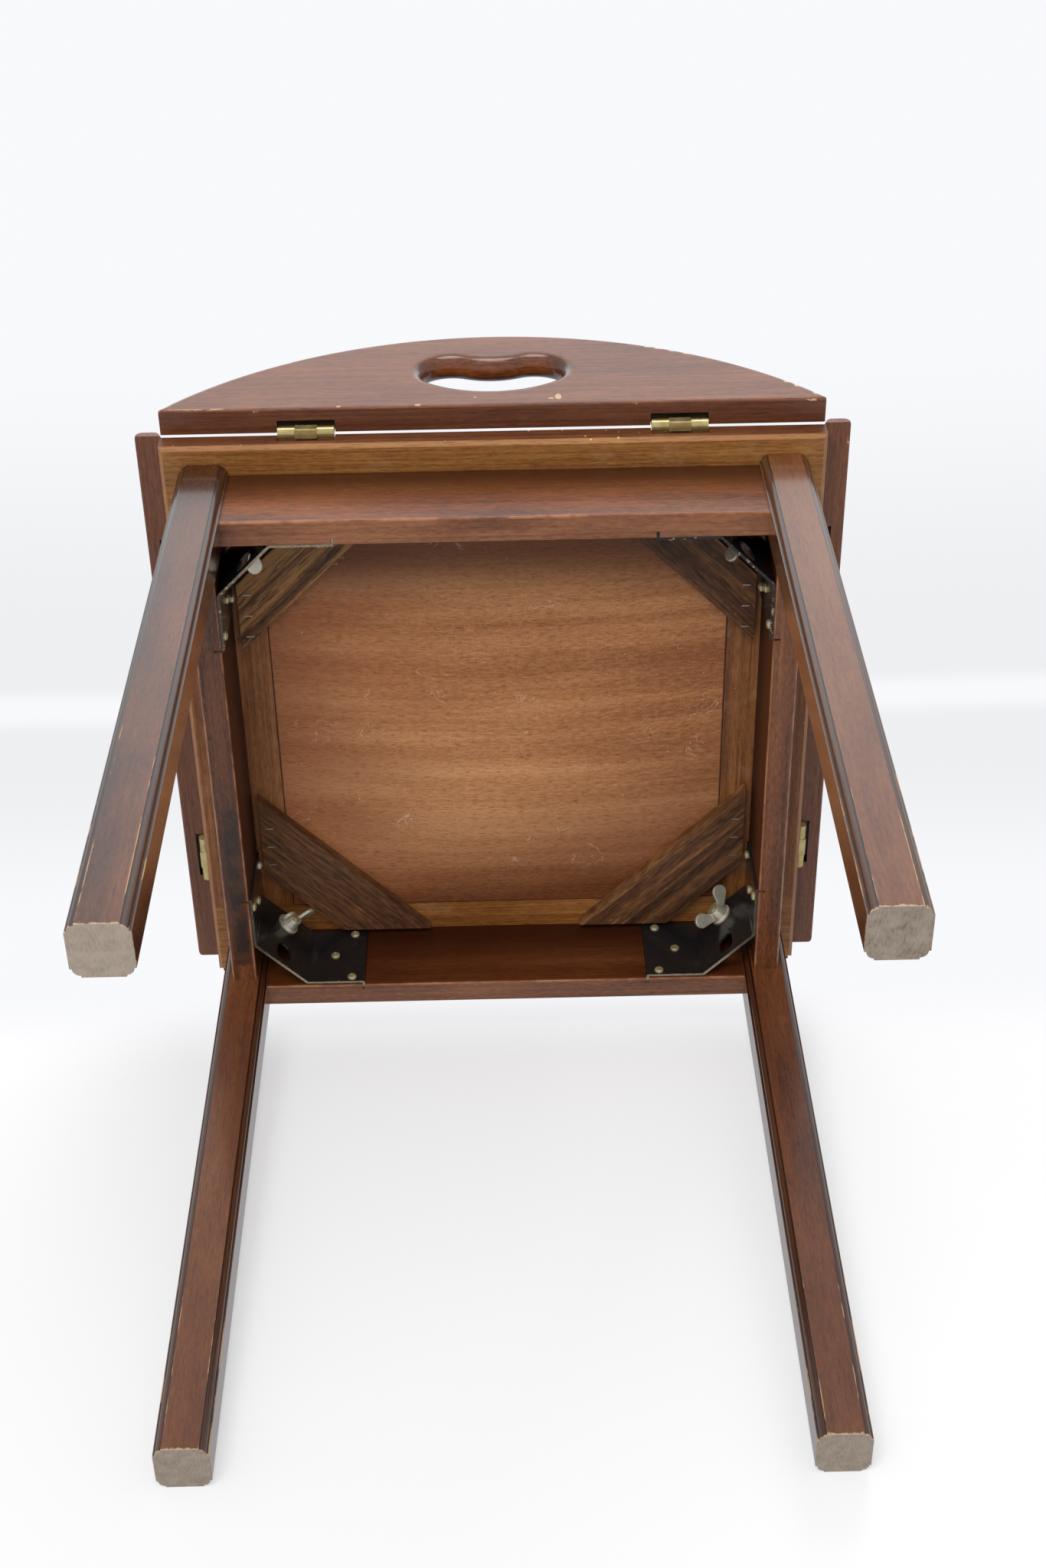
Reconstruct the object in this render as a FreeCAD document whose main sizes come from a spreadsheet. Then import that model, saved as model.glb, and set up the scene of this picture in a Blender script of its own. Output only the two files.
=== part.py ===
import FreeCAD, Part
import math
import os
import Sketcher

# Butler's tray table: a square knock-down stand, a loose tray and four hinged leaves.
# Millimetres, +Z up, origin on the floor under the middle of the table.
# Front is -Y and right is +X. The leaves stand up, square to the tray.

SIZES = {
    # Stand
    "tray_overhang": 13.0,
    "leg_side": 34.0,
    "leg_height": 510.0,
    "leg_mould": 5.5,
    "leg_quirk": 1.2,
    "apron_height": 70.0,
    "apron_thick": 18.5,
    "apron_setback": 8.5,
    "apron_round": 2.0,
    # Corner brackets
    "bracket_sheet": 2.0,
    "bracket_run": 38.0,
    "bracket_flange": 44.0,
    "bracket_hook": 5.0,
    "bracket_height": 62.0,
    "bracket_drop": 6.0,
    "bracket_bend": 3.0,
    "bracket_hole_spread": 34.0,
    "bolt_hole": 9.0,
    "slot_width": 13.0,
    "slot_height": 19.0,
    "kerf_clearance": 0.1,
    # Hanger bolts and wing nuts
    "bolt_size": 8.0,
    "bolt_bite": 34.0,
    "bolt_proud": 1.5,
    "bolt_chamfer": 1.0,
    "nut_clearance": 0.05,
    "nut_flange": 18.0,
    "nut_flange_thick": 2.0,
    "nut_waist": 15.0,
    "nut_crown": 11.5,
    "nut_height": 10.0,
    "wing_thick": 2.6,
    "wing_reach": 13.4,
    "wing_rise": 13.0,
    "wing_round": 5.8,
    "wing_root": 4.8,
    "wing_root_low": 2.0,
    "wing_root_high": 8.5,
    "wing_low_turn": 60.0,
    "wing_high_turn": 30.0,
    # Bracket screws
    "pan_head": 7.0,
    "pan_height": 2.2,
    "pan_crown": 4.4,
    "pan_shank": 3.5,
    "pan_length": 14.0,
    "pan_hole": 4.2,
    "pan_end_gap": 10.0,
    "pan_inset": 24.0,
    "pan_spread": 26.0,
    # Tray
    "tray_width": 460.0,
    "tray_thick": 18.0,
    "tray_chamfer": 3.0,
    "tray_round": 1.2,
    "rail_width": 64.0,
    "tongue_thick": 6.0,
    "tongue_depth": 7.5,
    "groove_clearance": 0.5,
    "panel_gap": 0.4,
    # Corner blocks and staples
    "block_play": 5.5,
    "block_thick": 9.0,
    "front_block_side": 54.0,
    "back_block_side": 68.5,
    "block_cut": 57.5,
    "staple_crown": 5.5,
    "staple_wire": 1.0,
    "staple_leg": 14.0,
    "staple_proud": 0.4,
    "staple_inset": 7.0,
    "staple_first": 8.0,
    "staple_pitch": 17.0,
    # Leaves
    "leaf_thick": 18.0,
    "leaf_rise": 120.8,
    "leaf_lift": 2.0,
    "leaf_gap": 0.5,
    "leaf_tip": 0.1,
    "leaf_end": 6.0,
    "leaf_round": 5.0,
    "leaf_arris": 2.0,
    "hand_reach": 29.5,
    "hand_rise": 59.3,
    "hand_end": 19.5,
    "hand_low": 66.0,
    "hand_dip": 51.5,
    "hand_round_out": 9.5,
    "hand_round_in": 8.0,
    # Hinges
    "hinge_inset": 101.0,
    "hinge_length": 39.0,
    "barrel_size": 7.8,
    "pin_set": 2.0,
    "cam_length": 15.0,
    "cam_chamfer": 0.8,
    "knuckle_gap": 0.15,
    "pin_size": 3.5,
    "pin_clearance": 0.05,
    "plate_thick": 2.5,
    "plate_reach": 30.0,
    "plate_round": 5.0,
    "pocket_end": 0.5,
    "leaf_pocket_depth": 9.0,
    "leaf_pocket_height": 5.0,
    "tray_pocket_depth": 2.5,
    "tray_pocket_drop": 11.0,
    # Hinge screws
    "sunk_head": 7.0,
    "sunk_height": 2.0,
    "sunk_shank": 3.5,
    "sunk_length": 12.0,
    "sunk_side": 13.0,
    "sunk_near": 9.0,
    "sunk_far": 22.0,
    # Cuts run past the faces that they open
    "overrun": 1.0,
}

# How far each wing nut is turned from upright, in degrees, in the order of the corners.
NUT_TURNS = {"front_left": 50, "front_right": -20, "back_right": -50, "back_left": -42}
SIDES = ["front", "right", "back", "left"]
CORNERS = ["front_left", "front_right", "back_right", "back_left"]

UP = FreeCAD.Vector(0, 0, 1)
ALONG_X = FreeCAD.Vector(1, 0, 0)
ALONG_Y = FreeCAD.Vector(0, 1, 0)
QUARTER = 90
EIGHTH = 45
SAME_PLACE = 0.0001

doc = FreeCAD.newDocument("butlers_tray_table")
sheet = doc.addObject("Spreadsheet::Sheet", "dims")
for row, (alias, size) in enumerate(SIZES.items(), start=1):
    sheet.set(f"A{row}", alias)
    sheet.set(f"B{row}", str(size))
    sheet.setAlias(f"B{row}", alias)
doc.recompute()

# Places that several pieces share, worked out from the sheet.
TRAY = "(dims.tray_width / 2)"
STAND = f"({TRAY} - dims.tray_overhang)"
LEG_MIDDLE = f"({STAND} - dims.leg_side / 2)"
LEG_INNER = f"({STAND} - dims.leg_side)"
APRON_OUTER = f"({STAND} - dims.apron_setback)"
APRON_INNER = f"({APRON_OUTER} - dims.apron_thick)"
APRON_LOW = "(dims.leg_height - dims.apron_height)"
BRACKET_TOP = "(dims.leg_height - dims.bracket_drop)"
BRACKET_LOW = f"({BRACKET_TOP} - dims.bracket_height)"
BRACKET_MIDDLE = f"({BRACKET_TOP} - dims.bracket_height / 2)"
BRACKET_BEND = f"({APRON_INNER} - dims.bracket_run)"
BRACKET_END = f"({BRACKET_BEND} - dims.bracket_flange)"
PLATE_MIDDLE = f"({APRON_INNER} - dims.bracket_run / 2)"
BOLT_RISE = f"({BRACKET_MIDDLE} + dims.bracket_hole_spread / 2)"
TRAY_LOW = "dims.leg_height"
TRAY_TOP = "(dims.leg_height + dims.tray_thick)"
TRAY_MIDDLE = "(dims.leg_height + dims.tray_thick / 2)"
RAIL_INNER = f"({TRAY} - dims.rail_width)"
TONGUE_END = f"({RAIL_INNER} + dims.tongue_depth)"
GROOVE_END = f"({TONGUE_END} + dims.groove_clearance)"
BLOCK_SIDE = f"({APRON_INNER} - dims.block_play)"
BLOCK_LOW = "(dims.leg_height - dims.block_thick)"
LEAF_INNER = f"({TRAY} + dims.leaf_gap)"
PIN_OUT = f"({LEAF_INNER} + dims.pin_set)"
PIN_RISE = f"({TRAY_TOP} - dims.pin_set)"
TRAY_PLATE_FRONT = f"({PIN_OUT} - dims.barrel_size / 2 - dims.knuckle_gap)"
CAM_SWEEP = "(sqrt((dims.barrel_size / 2) ^ 2 + (dims.barrel_size / 2 - dims.cam_chamfer) ^ 2) + dims.knuckle_gap)"
LEAF_OUTER = f"({LEAF_INNER} + dims.leaf_thick)"
LEAF_LOW = f"({TRAY_TOP} + dims.leaf_lift)"
HINGE = f"({TRAY} - dims.hinge_inset)"
DIAGONAL = "sqrt(2)"


def value(rule):
    return float(sheet.evalExpression(rule))


def neg(rule):
    return f"-({rule})"


def set_place(item, place, rotation=FreeCAD.Rotation()):
    item.Placement = FreeCAD.Placement(FreeCAD.Vector(), rotation)
    for axis, rule in zip("xyz", place):
        item.setExpression(f"Placement.Base.{axis}", rule)
    return item


def copy_of(name, source, place=("0", "0", "0"), rotation=FreeCAD.Rotation()):
    item = doc.addObject("Part::Compound", name)
    item.Links = [source]
    return set_place(item, place, rotation)


def turned(name, source, quarters):
    return copy_of(name, source, rotation=FreeCAD.Rotation(UP, QUARTER * quarters))


def group(name, members):
    item = doc.addObject("Part::Compound", name)
    item.Links = members
    return item


def cut(name, base, tool):
    item = doc.addObject("Part::Cut", name)
    item.Base = base
    item.Tool = tool
    return item


def block(name, size, corner):
    item = doc.addObject("Part::Box", name)
    for side, rule in zip(("Length", "Width", "Height"), size):
        item.setExpression(side, rule)
    return set_place(item, corner)


def rod(name, size, length, place, rotation=FreeCAD.Rotation()):
    item = doc.addObject("Part::Cylinder", name)
    item.setExpression("Radius", f"({size}) / 2")
    item.setExpression("Height", length)
    return set_place(item, place, rotation)


def new_body(name):
    return doc.addObject("PartDesign::Body", name)


# A sketch is drawn from loops. A loop is a list of corners, each with its two places and, where the
# stretch to the next corner is round, an arc: its radius, its turn (1 to the left, -1 to the right)
# and whether it is wider than a half circle. A circle is its centre's two places and its radius.
class Outline:
    def __init__(self, body, name, plane, rise="0"):
        self.item = body.newObject("Sketcher::SketchObject", name)
        support = [part for part in body.Origin.OriginFeatures if part.Role == plane]
        self.item.AttachmentSupport = (support[0], [""])
        self.item.MapMode = "FlatFace"
        self.item.setExpression("AttachmentOffset.Base.z", rise)

    def bind(self, kind, parts, rule):
        number = self.item.addConstraint(Sketcher.Constraint(kind, *parts, value(rule)))
        self.item.setExpression(f"Constraints[{number}]", rule)

    def pin(self, edge, end, place):
        self.bind("DistanceX", (-1, 1, edge, end), place[0])
        self.bind("DistanceY", (-1, 1, edge, end), place[1])

    def circle(self, middle, radius):
        centre = FreeCAD.Vector(value(middle[0]), value(middle[1]), 0)
        edge = self.item.addGeometry(Part.Circle(centre, UP, value(radius)), False)
        self.pin(edge, 3, middle)
        self.bind("Radius", (edge,), radius)
        return self

    def loop(self, corners):
        points = [FreeCAD.Vector(value(corner[0]), value(corner[1]), 0) for corner in corners]
        edges = []
        for number, corner in enumerate(corners):
            start = points[number]
            end = points[(number + 1) % len(points)]
            if len(corner) == 2:
                edge = self.item.addGeometry(Part.LineSegment(start, end), False)
                edges.append((edge, 1, 2))
            else:
                edges.append(self.arc(start, end, *corner[2]))
        for number, (edge, first, last) in enumerate(edges):
            following = edges[(number + 1) % len(edges)]
            self.item.addConstraint(Sketcher.Constraint("Coincident", edge, last, following[0], following[1]))
            self.pin(edge, first, corners[number])
        return self

    def arc(self, start, end, radius, turn, wide):
        size = value(radius)
        chord = end - start
        off = math.sqrt(max(size ** 2 - (chord.Length / 2) ** 2, 0))
        across = FreeCAD.Vector(-chord.y, chord.x, 0).normalize()
        side = -turn if wide else turn
        centre = (start + end) * 0.5 + across * off * side
        ends = (start, end) if turn > 0 else (end, start)
        angles = [math.atan2(point.y - centre.y, point.x - centre.x) for point in ends]
        curve = Part.ArcOfCircle(Part.Circle(centre, UP, size), angles[0], angles[1])
        edge = self.item.addGeometry(curve, False)
        self.bind("Radius", (edge,), radius)
        return (edge, 1, 2) if turn > 0 else (edge, 2, 1)


def pad(body, name, outline, length, both=False, back=False):
    item = body.newObject("PartDesign::Pad", name)
    item.Profile = outline.item
    item.setExpression("Length", length)
    item.SideType = "Symmetric" if both else "One side"
    item.Reversed = back
    return item


def pocket(body, name, outline, length):
    item = body.newObject("PartDesign::Pocket", name)
    item.Profile = outline.item
    item.setExpression("Length", length)
    item.SideType = "Symmetric"
    return item


def spun(body, name, outline):
    item = body.newObject("PartDesign::Revolution", name)
    item.Profile = outline.item
    item.ReferenceAxis = (outline.item, ["V_Axis"])
    return item


def rounded(body, name, radius, chosen):
    doc.recompute()
    base = body.Tip
    numbers = [number for number, edge in enumerate(base.Shape.Edges, start=1) if chosen(edge)]
    item = body.newObject("PartDesign::Fillet", name)
    item.Base = (base, [f"Edge{number}" for number in numbers])
    item.setExpression("Radius", radius)
    return item


def bevelled(body, name, size, chosen):
    doc.recompute()
    base = body.Tip
    numbers = [number for number, edge in enumerate(base.Shape.Edges, start=1) if chosen(edge)]
    item = body.newObject("PartDesign::Chamfer", name)
    item.Base = (base, [f"Edge{number}" for number in numbers])
    item.setExpression("Size", size)
    return item


def level(point, axis, rule):
    return math.isclose(getattr(point, axis), value(rule), abs_tol=SAME_PLACE)


def lies_on(edge, axis, rule):
    return all(level(vertex.Point, axis, rule) for vertex in edge.Vertexes)


def is_arc_of(edge, radius):
    if not isinstance(edge.Curve, Part.Circle):
        return False
    return math.isclose(edge.Curve.Radius, value(radius), abs_tol=SAME_PLACE)


def make_leg_blank():
    body = new_body("leg_blank")
    half = "dims.leg_side / 2"
    flat = f"({half} - dims.leg_mould)"
    step = f"({half} - dims.leg_quirk)"
    bead = ("dims.leg_mould - dims.leg_quirk", 1, False)
    corners = [
        (neg(flat), neg(half)), (flat, neg(half)), (flat, neg(step), bead), (step, neg(flat)),
        (half, neg(flat)), (half, flat), (step, flat, bead), (flat, step),
        (flat, half), (neg(flat), half), (neg(flat), step, bead), (neg(step), flat),
        (neg(half), flat), (neg(half), neg(flat)), (neg(step), neg(flat), bead), (neg(flat), neg(step)),
    ]
    pad(body, "leg_length", Outline(body, "leg_section", "XY_Plane").loop(corners), "dims.leg_height")
    return set_place(body, (neg(LEG_MIDDLE), neg(LEG_MIDDLE), "0"))


def make_apron_blank():
    body = new_body("apron_blank")
    low_round = ("dims.apron_round", 1, False)
    inner_start = f"-({APRON_INNER} + dims.apron_round)"
    outer_start = f"-({APRON_OUTER} - dims.apron_round)"
    round_top = f"({APRON_LOW} + dims.apron_round)"
    corners = [
        (outer_start, APRON_LOW), (inner_start, APRON_LOW, low_round), (neg(APRON_INNER), round_top),
        (neg(APRON_INNER), "dims.leg_height"), (neg(APRON_OUTER), "dims.leg_height"),
        (neg(APRON_OUTER), round_top, low_round),
    ]
    section = Outline(body, "apron_section", "YZ_Plane").loop(corners)
    pad(body, "apron_length", section, f"2 * {LEG_INNER}", both=True)
    return body


def make_kerf(name, sign):
    depth = "(dims.bracket_hook + dims.kerf_clearance)"
    width = "(dims.bracket_sheet + 2 * dims.kerf_clearance)"
    near = f"({BRACKET_END} - dims.kerf_clearance)"
    start = near if sign > 0 else f"-({near} + {width})"
    height = "(dims.apron_height + 2 * dims.overrun)"
    corner = (start, f"-({APRON_INNER} + {depth})", f"{APRON_LOW} - dims.overrun")
    return block(name, (width, f"{depth} + dims.overrun", height), corner)


def make_bracket_blank():
    body = new_body("bracket_blank")
    wall = APRON_INNER
    face = f"({wall} - dims.bracket_sheet)"
    hook = f"({wall} + dims.bracket_hook)"
    hook_back = f"({BRACKET_END} + dims.bracket_sheet)"
    inner_bend = f"({BRACKET_BEND} - dims.bracket_sheet * ({DIAGONAL} - 1))"
    inner = [(BRACKET_END, face), (inner_bend, face)]
    outer = [(BRACKET_BEND, wall), (hook_back, wall), (hook_back, hook), (BRACKET_END, hook)]
    mirrored_inner = [(along, across) for across, along in reversed(inner)]
    mirrored_outer = [(along, across) for across, along in reversed(outer)]
    path = inner + mirrored_inner + mirrored_outer + outer
    corners = [(neg(across), neg(along)) for across, along in path]
    section = Outline(body, "bracket_section", "XY_Plane", BRACKET_LOW).loop(corners)
    pad(body, "bracket_sheet_metal", section, "dims.bracket_height")

    def is_bend(edge, across, along):
        ways = ((across, along), (along, across))
        return any(lies_on(edge, "x", neg(one)) and lies_on(edge, "y", neg(two)) for one, two in ways)

    rounded(body, "bracket_inner_bends", "dims.bracket_bend", lambda edge: is_bend(edge, inner_bend, face))
    outer_bend = "dims.bracket_bend + dims.bracket_sheet"
    rounded(body, "bracket_outer_bends", outer_bend, lambda edge: is_bend(edge, BRACKET_BEND, wall))
    rounded(body, "bracket_hook_bends", "dims.bracket_sheet", lambda edge: is_bend(edge, BRACKET_END, face))
    return body


def make_slot():
    body = new_body("bracket_slot")
    half = "dims.slot_width / 2"
    straight = "(dims.slot_height - dims.slot_width) / 2"
    low = f"-({straight})"
    end = (half, 1, False)
    corners = [
        (half, low), (half, straight, end), ("0", "dims.slot_height / 2", end), (neg(half), straight),
        (neg(half), low, end), ("0", "-dims.slot_height / 2", end),
    ]
    outline = Outline(body, "slot_outline", "XZ_Plane").loop(corners)
    pad(body, "slot_depth", outline, "2 * (dims.bracket_sheet + dims.overrun)", both=True)
    drop = f"({BRACKET_MIDDLE} - dims.bracket_hole_spread / 2)"
    return set_place(body, (neg(PLATE_MIDDLE), neg(PLATE_MIDDLE), drop), FreeCAD.Rotation(UP, -EIGHTH))


INWARD = FreeCAD.Rotation(UP, EIGHTH).multiply(FreeCAD.Rotation(ALONG_Y, QUARTER))


def diagonal_place(reach, rise):
    return (f"-({reach}) / {DIAGONAL}", f"-({reach}) / {DIAGONAL}", rise)


PLATE_OUTER_REACH = f"({PLATE_MIDDLE} * {DIAGONAL})"
PLATE_INNER_REACH = f"({PLATE_OUTER_REACH} - dims.bracket_sheet)"
LEG_CORNER_REACH = f"(({LEG_INNER} + dims.leg_mould) * {DIAGONAL} - dims.leg_mould + dims.leg_quirk)"
BOLT_END_REACH = f"({LEG_CORNER_REACH} + dims.bolt_bite)"
BOLT_LENGTH = f"({BOLT_END_REACH} - {PLATE_INNER_REACH} + dims.nut_height + dims.bolt_proud)"


def make_bolt():
    body = new_body("bolt")
    radius = "dims.bolt_size / 2"
    tip = f"({radius} - dims.bolt_chamfer)"
    corners = [
        ("0", "0"), (tip, "0"), (radius, "dims.bolt_chamfer"),
        (radius, f"{BOLT_LENGTH} - dims.bolt_chamfer"), (tip, BOLT_LENGTH), ("0", BOLT_LENGTH),
    ]
    spun(body, "bolt_turning", Outline(body, "bolt_section", "XZ_Plane").loop(corners))
    return set_place(body, diagonal_place(BOLT_END_REACH, BOLT_RISE), INWARD)


def make_nut():
    body = new_body("wing_nut_blank")
    bore = "(dims.bolt_size / 2 + dims.nut_clearance)"
    corners = [
        (bore, "0"), ("dims.nut_flange / 2", "0"), ("dims.nut_flange / 2", "dims.nut_flange_thick"),
        ("dims.nut_waist / 2", "dims.nut_flange_thick"), ("dims.nut_crown / 2", "dims.nut_height"),
        (bore, "dims.nut_height"),
    ]
    spun(body, "nut_hub", Outline(body, "nut_section", "XZ_Plane").loop(corners))
    low = ("dims.wing_reach + dims.wing_round * cos(dims.wing_low_turn)",
           "dims.wing_rise - dims.wing_round * sin(dims.wing_low_turn)")
    high = ("dims.wing_reach - dims.wing_round * cos(dims.wing_high_turn)",
            "dims.wing_rise + dims.wing_round * sin(dims.wing_high_turn)")
    tip_right = ("dims.wing_round", 1, True)
    tip_left = ("dims.wing_round", -1, True)
    right = [
        ("dims.wing_root", "dims.wing_root_low"), low, high, ("dims.wing_root", "dims.wing_root_high"),
    ]
    left = [(neg(across), rise) for across, rise in right]
    right[1] = (*right[1], tip_right)
    left[1] = (*left[1], tip_left)
    wings = Outline(body, "wing_outline", "XZ_Plane").loop(right).loop(left)
    pad(body, "nut_wings", wings, "dims.wing_thick", both=True)
    return body


def make_pan_screw():
    body = new_body("pan_screw")
    shank = "dims.pan_shank / 2"
    head = "dims.pan_head / 2"
    corners = [
        ("0", "-dims.pan_length"), (shank, f"-dims.pan_length + {shank}"), (shank, "0"), (head, "0"),
        (head, "dims.pan_height / 2"), ("dims.pan_crown / 2", "dims.pan_height"), ("0", "dims.pan_height"),
    ]
    spun(body, "pan_screw_turning", Outline(body, "pan_screw_section", "XZ_Plane").loop(corners))
    return body


def make_sunk_screw():
    body = new_body("sunk_screw")
    shank = "dims.sunk_shank / 2"
    head = "dims.sunk_head / 2"
    corners = [
        ("0", "-dims.sunk_length"), (shank, f"-dims.sunk_length + {shank}"), (shank, "-dims.sunk_height"),
        (head, "0"), ("0", "0"),
    ]
    spun(body, "sunk_screw_turning", Outline(body, "sunk_screw_section", "XZ_Plane").loop(corners))
    return body


PAN_OUTER = f"-({BRACKET_END} + dims.pan_end_gap)"
PAN_INNER = f"-({BRACKET_END} + dims.pan_inset)"
PAN_SPOTS = [
    (PAN_OUTER, f"{BRACKET_MIDDLE} + dims.pan_spread"), (PAN_INNER, BRACKET_MIDDLE),
    (PAN_OUTER, f"{BRACKET_MIDDLE} - dims.pan_spread"),
]
TO_BACK = FreeCAD.Rotation(ALONG_X, -QUARTER)
TO_RIGHT = FreeCAD.Rotation(ALONG_Y, QUARTER)


def make_corner_screws(screw):
    face = f"-({APRON_INNER} - dims.bracket_sheet)"
    members = []
    for number, (along, rise) in enumerate(PAN_SPOTS, start=1):
        members.append(copy_of(f"front_flange_screw_{number}", screw, (along, face, rise), TO_BACK))
        members.append(copy_of(f"left_flange_screw_{number}", screw, (face, along, rise), TO_RIGHT))
    return group("corner_screws", members)


def make_bracket_holes():
    start = f"-({APRON_INNER} + dims.overrun)"
    depth = "dims.bracket_sheet + 2 * dims.overrun"
    members = []
    for number, (along, rise) in enumerate(PAN_SPOTS, start=1):
        members.append(rod(f"front_hole_{number}", "dims.pan_hole", depth, (along, start, rise), TO_BACK))
        members.append(rod(f"left_hole_{number}", "dims.pan_hole", depth, (start, along, rise), TO_RIGHT))
    bolt_start = f"({PLATE_OUTER_REACH} + dims.overrun)"
    members.append(rod("bolt_way", "dims.bolt_hole", depth, diagonal_place(bolt_start, BOLT_RISE), INWARD))
    members.append(make_slot())
    return group("bracket_holes", members)


TONGUE_LOW = f"({TRAY_MIDDLE} - dims.tongue_thick / 2)"
TONGUE_HIGH = f"({TRAY_MIDDLE} + dims.tongue_thick / 2)"


def rail_section(body, name, plane):
    corners = [
        (neg(RAIL_INNER), TRAY_LOW), (neg(RAIL_INNER), TONGUE_LOW), (neg(GROOVE_END), TONGUE_LOW),
        (neg(GROOVE_END), TONGUE_HIGH), (neg(RAIL_INNER), TONGUE_HIGH), (neg(RAIL_INNER), TRAY_TOP),
        (neg(TRAY), TRAY_TOP), (neg(TRAY), TRAY_LOW),
    ]
    return Outline(body, name, plane).loop(corners)


def make_cross_rail():
    body = new_body("cross_rail")
    section = rail_section(body, "cross_rail_section", "YZ_Plane")
    pad(body, "cross_rail_length", section, "dims.tray_width", both=True)

    def is_outer(edge, rise):
        ways = (("y", neg(TRAY)), ("x", TRAY), ("x", neg(TRAY)))
        return lies_on(edge, "z", rise) and any(lies_on(edge, axis, rule) for axis, rule in ways)

    bevelled(body, "cross_rail_bevel", "dims.tray_chamfer", lambda edge: is_outer(edge, TRAY_LOW))
    rounded(body, "cross_rail_arris", "dims.tray_round", lambda edge: is_outer(edge, TRAY_TOP))
    return body


def make_side_rail():
    body = new_body("side_rail")
    section = rail_section(body, "side_rail_section", "XZ_Plane")
    pad(body, "side_rail_length", section, f"2 * {RAIL_INNER}", both=True)

    def is_outer(edge, rise):
        return lies_on(edge, "z", rise) and lies_on(edge, "x", neg(TRAY))

    bevelled(body, "side_rail_bevel", "dims.tray_chamfer", lambda edge: is_outer(edge, TRAY_LOW))
    rounded(body, "side_rail_arris", "dims.tray_round", lambda edge: is_outer(edge, TRAY_TOP))
    corners = [
        (neg(TRAY), TONGUE_LOW), (neg(GROOVE_END), TONGUE_LOW),
        (neg(GROOVE_END), TONGUE_HIGH), (neg(TRAY), TONGUE_HIGH),
    ]
    tongue = Outline(body, "side_rail_tongue_section", "XZ_Plane").loop(corners)
    pad(body, "side_rail_tongue", tongue, f"2 * {TONGUE_END}", both=True)
    return body


def square(body, name, half, rise):
    corners = [(neg(half), neg(half)), (half, neg(half)), (half, half), (neg(half), half)]
    return Outline(body, name, "XY_Plane", rise).loop(corners)


def make_panel():
    body = new_body("tray_panel")
    pad(body, "panel_board", square(body, "panel_outline", f"({RAIL_INNER} - dims.panel_gap)", TRAY_LOW),
        "dims.tray_thick")
    tongue = square(body, "panel_tongue_outline", TONGUE_END, TONGUE_LOW)
    pad(body, "panel_tongue", tongue, "dims.tongue_thick")
    return body


def make_block_blank(name, side):
    body = new_body(name)
    near = f"({BLOCK_SIDE} - dims.block_cut)"
    far = f"({near} - {side})"
    corners = [
        (neg(BLOCK_SIDE), neg(far)), (neg(BLOCK_SIDE), neg(near)), (neg(near), neg(BLOCK_SIDE)),
        (neg(far), neg(BLOCK_SIDE)),
    ]
    outline = Outline(body, f"{name}_outline", "XY_Plane", BLOCK_LOW).loop(corners)
    pad(body, f"{name}_board", outline, "dims.block_thick")
    return body


def make_staple():
    body = new_body("staple")
    half = "dims.staple_crown / 2"
    inside = f"({half} - dims.staple_wire)"
    low = "-dims.staple_proud"
    bridge = "dims.staple_wire - dims.staple_proud"
    top = "dims.staple_leg"
    corners = [
        (neg(half), low), (half, low), (half, top), (inside, top),
        (inside, bridge), (neg(inside), bridge), (neg(inside), top), (neg(half), top),
    ]
    outline = Outline(body, "staple_outline", "XZ_Plane").loop(corners)
    pad(body, "staple_width", outline, "dims.staple_wire", both=True)
    return body


def make_corner_staples(staple, name, turn):
    line = f"-({BLOCK_SIDE} - dims.staple_inset)"
    members = []
    for number in range(3):
        along = f"-({BLOCK_SIDE} - dims.block_cut - dims.staple_first - {number} * dims.staple_pitch)"
        members.append(copy_of(f"{name}_{number + 1}", staple, (line, along, BLOCK_LOW), turn))
        members.append(copy_of(f"{name}_{number + 4}", staple, (along, line, BLOCK_LOW), turn))
    return group(name, members)


# The hand hole's low and dipping curves meet its round ends smoothly.
HAND_LOW_RISE = "sqrt((dims.hand_low - dims.hand_end) ^ 2 - dims.hand_reach ^ 2)"
HAND_DIP_RISE = "sqrt((dims.hand_dip + dims.hand_end) ^ 2 - dims.hand_reach ^ 2)"


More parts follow.
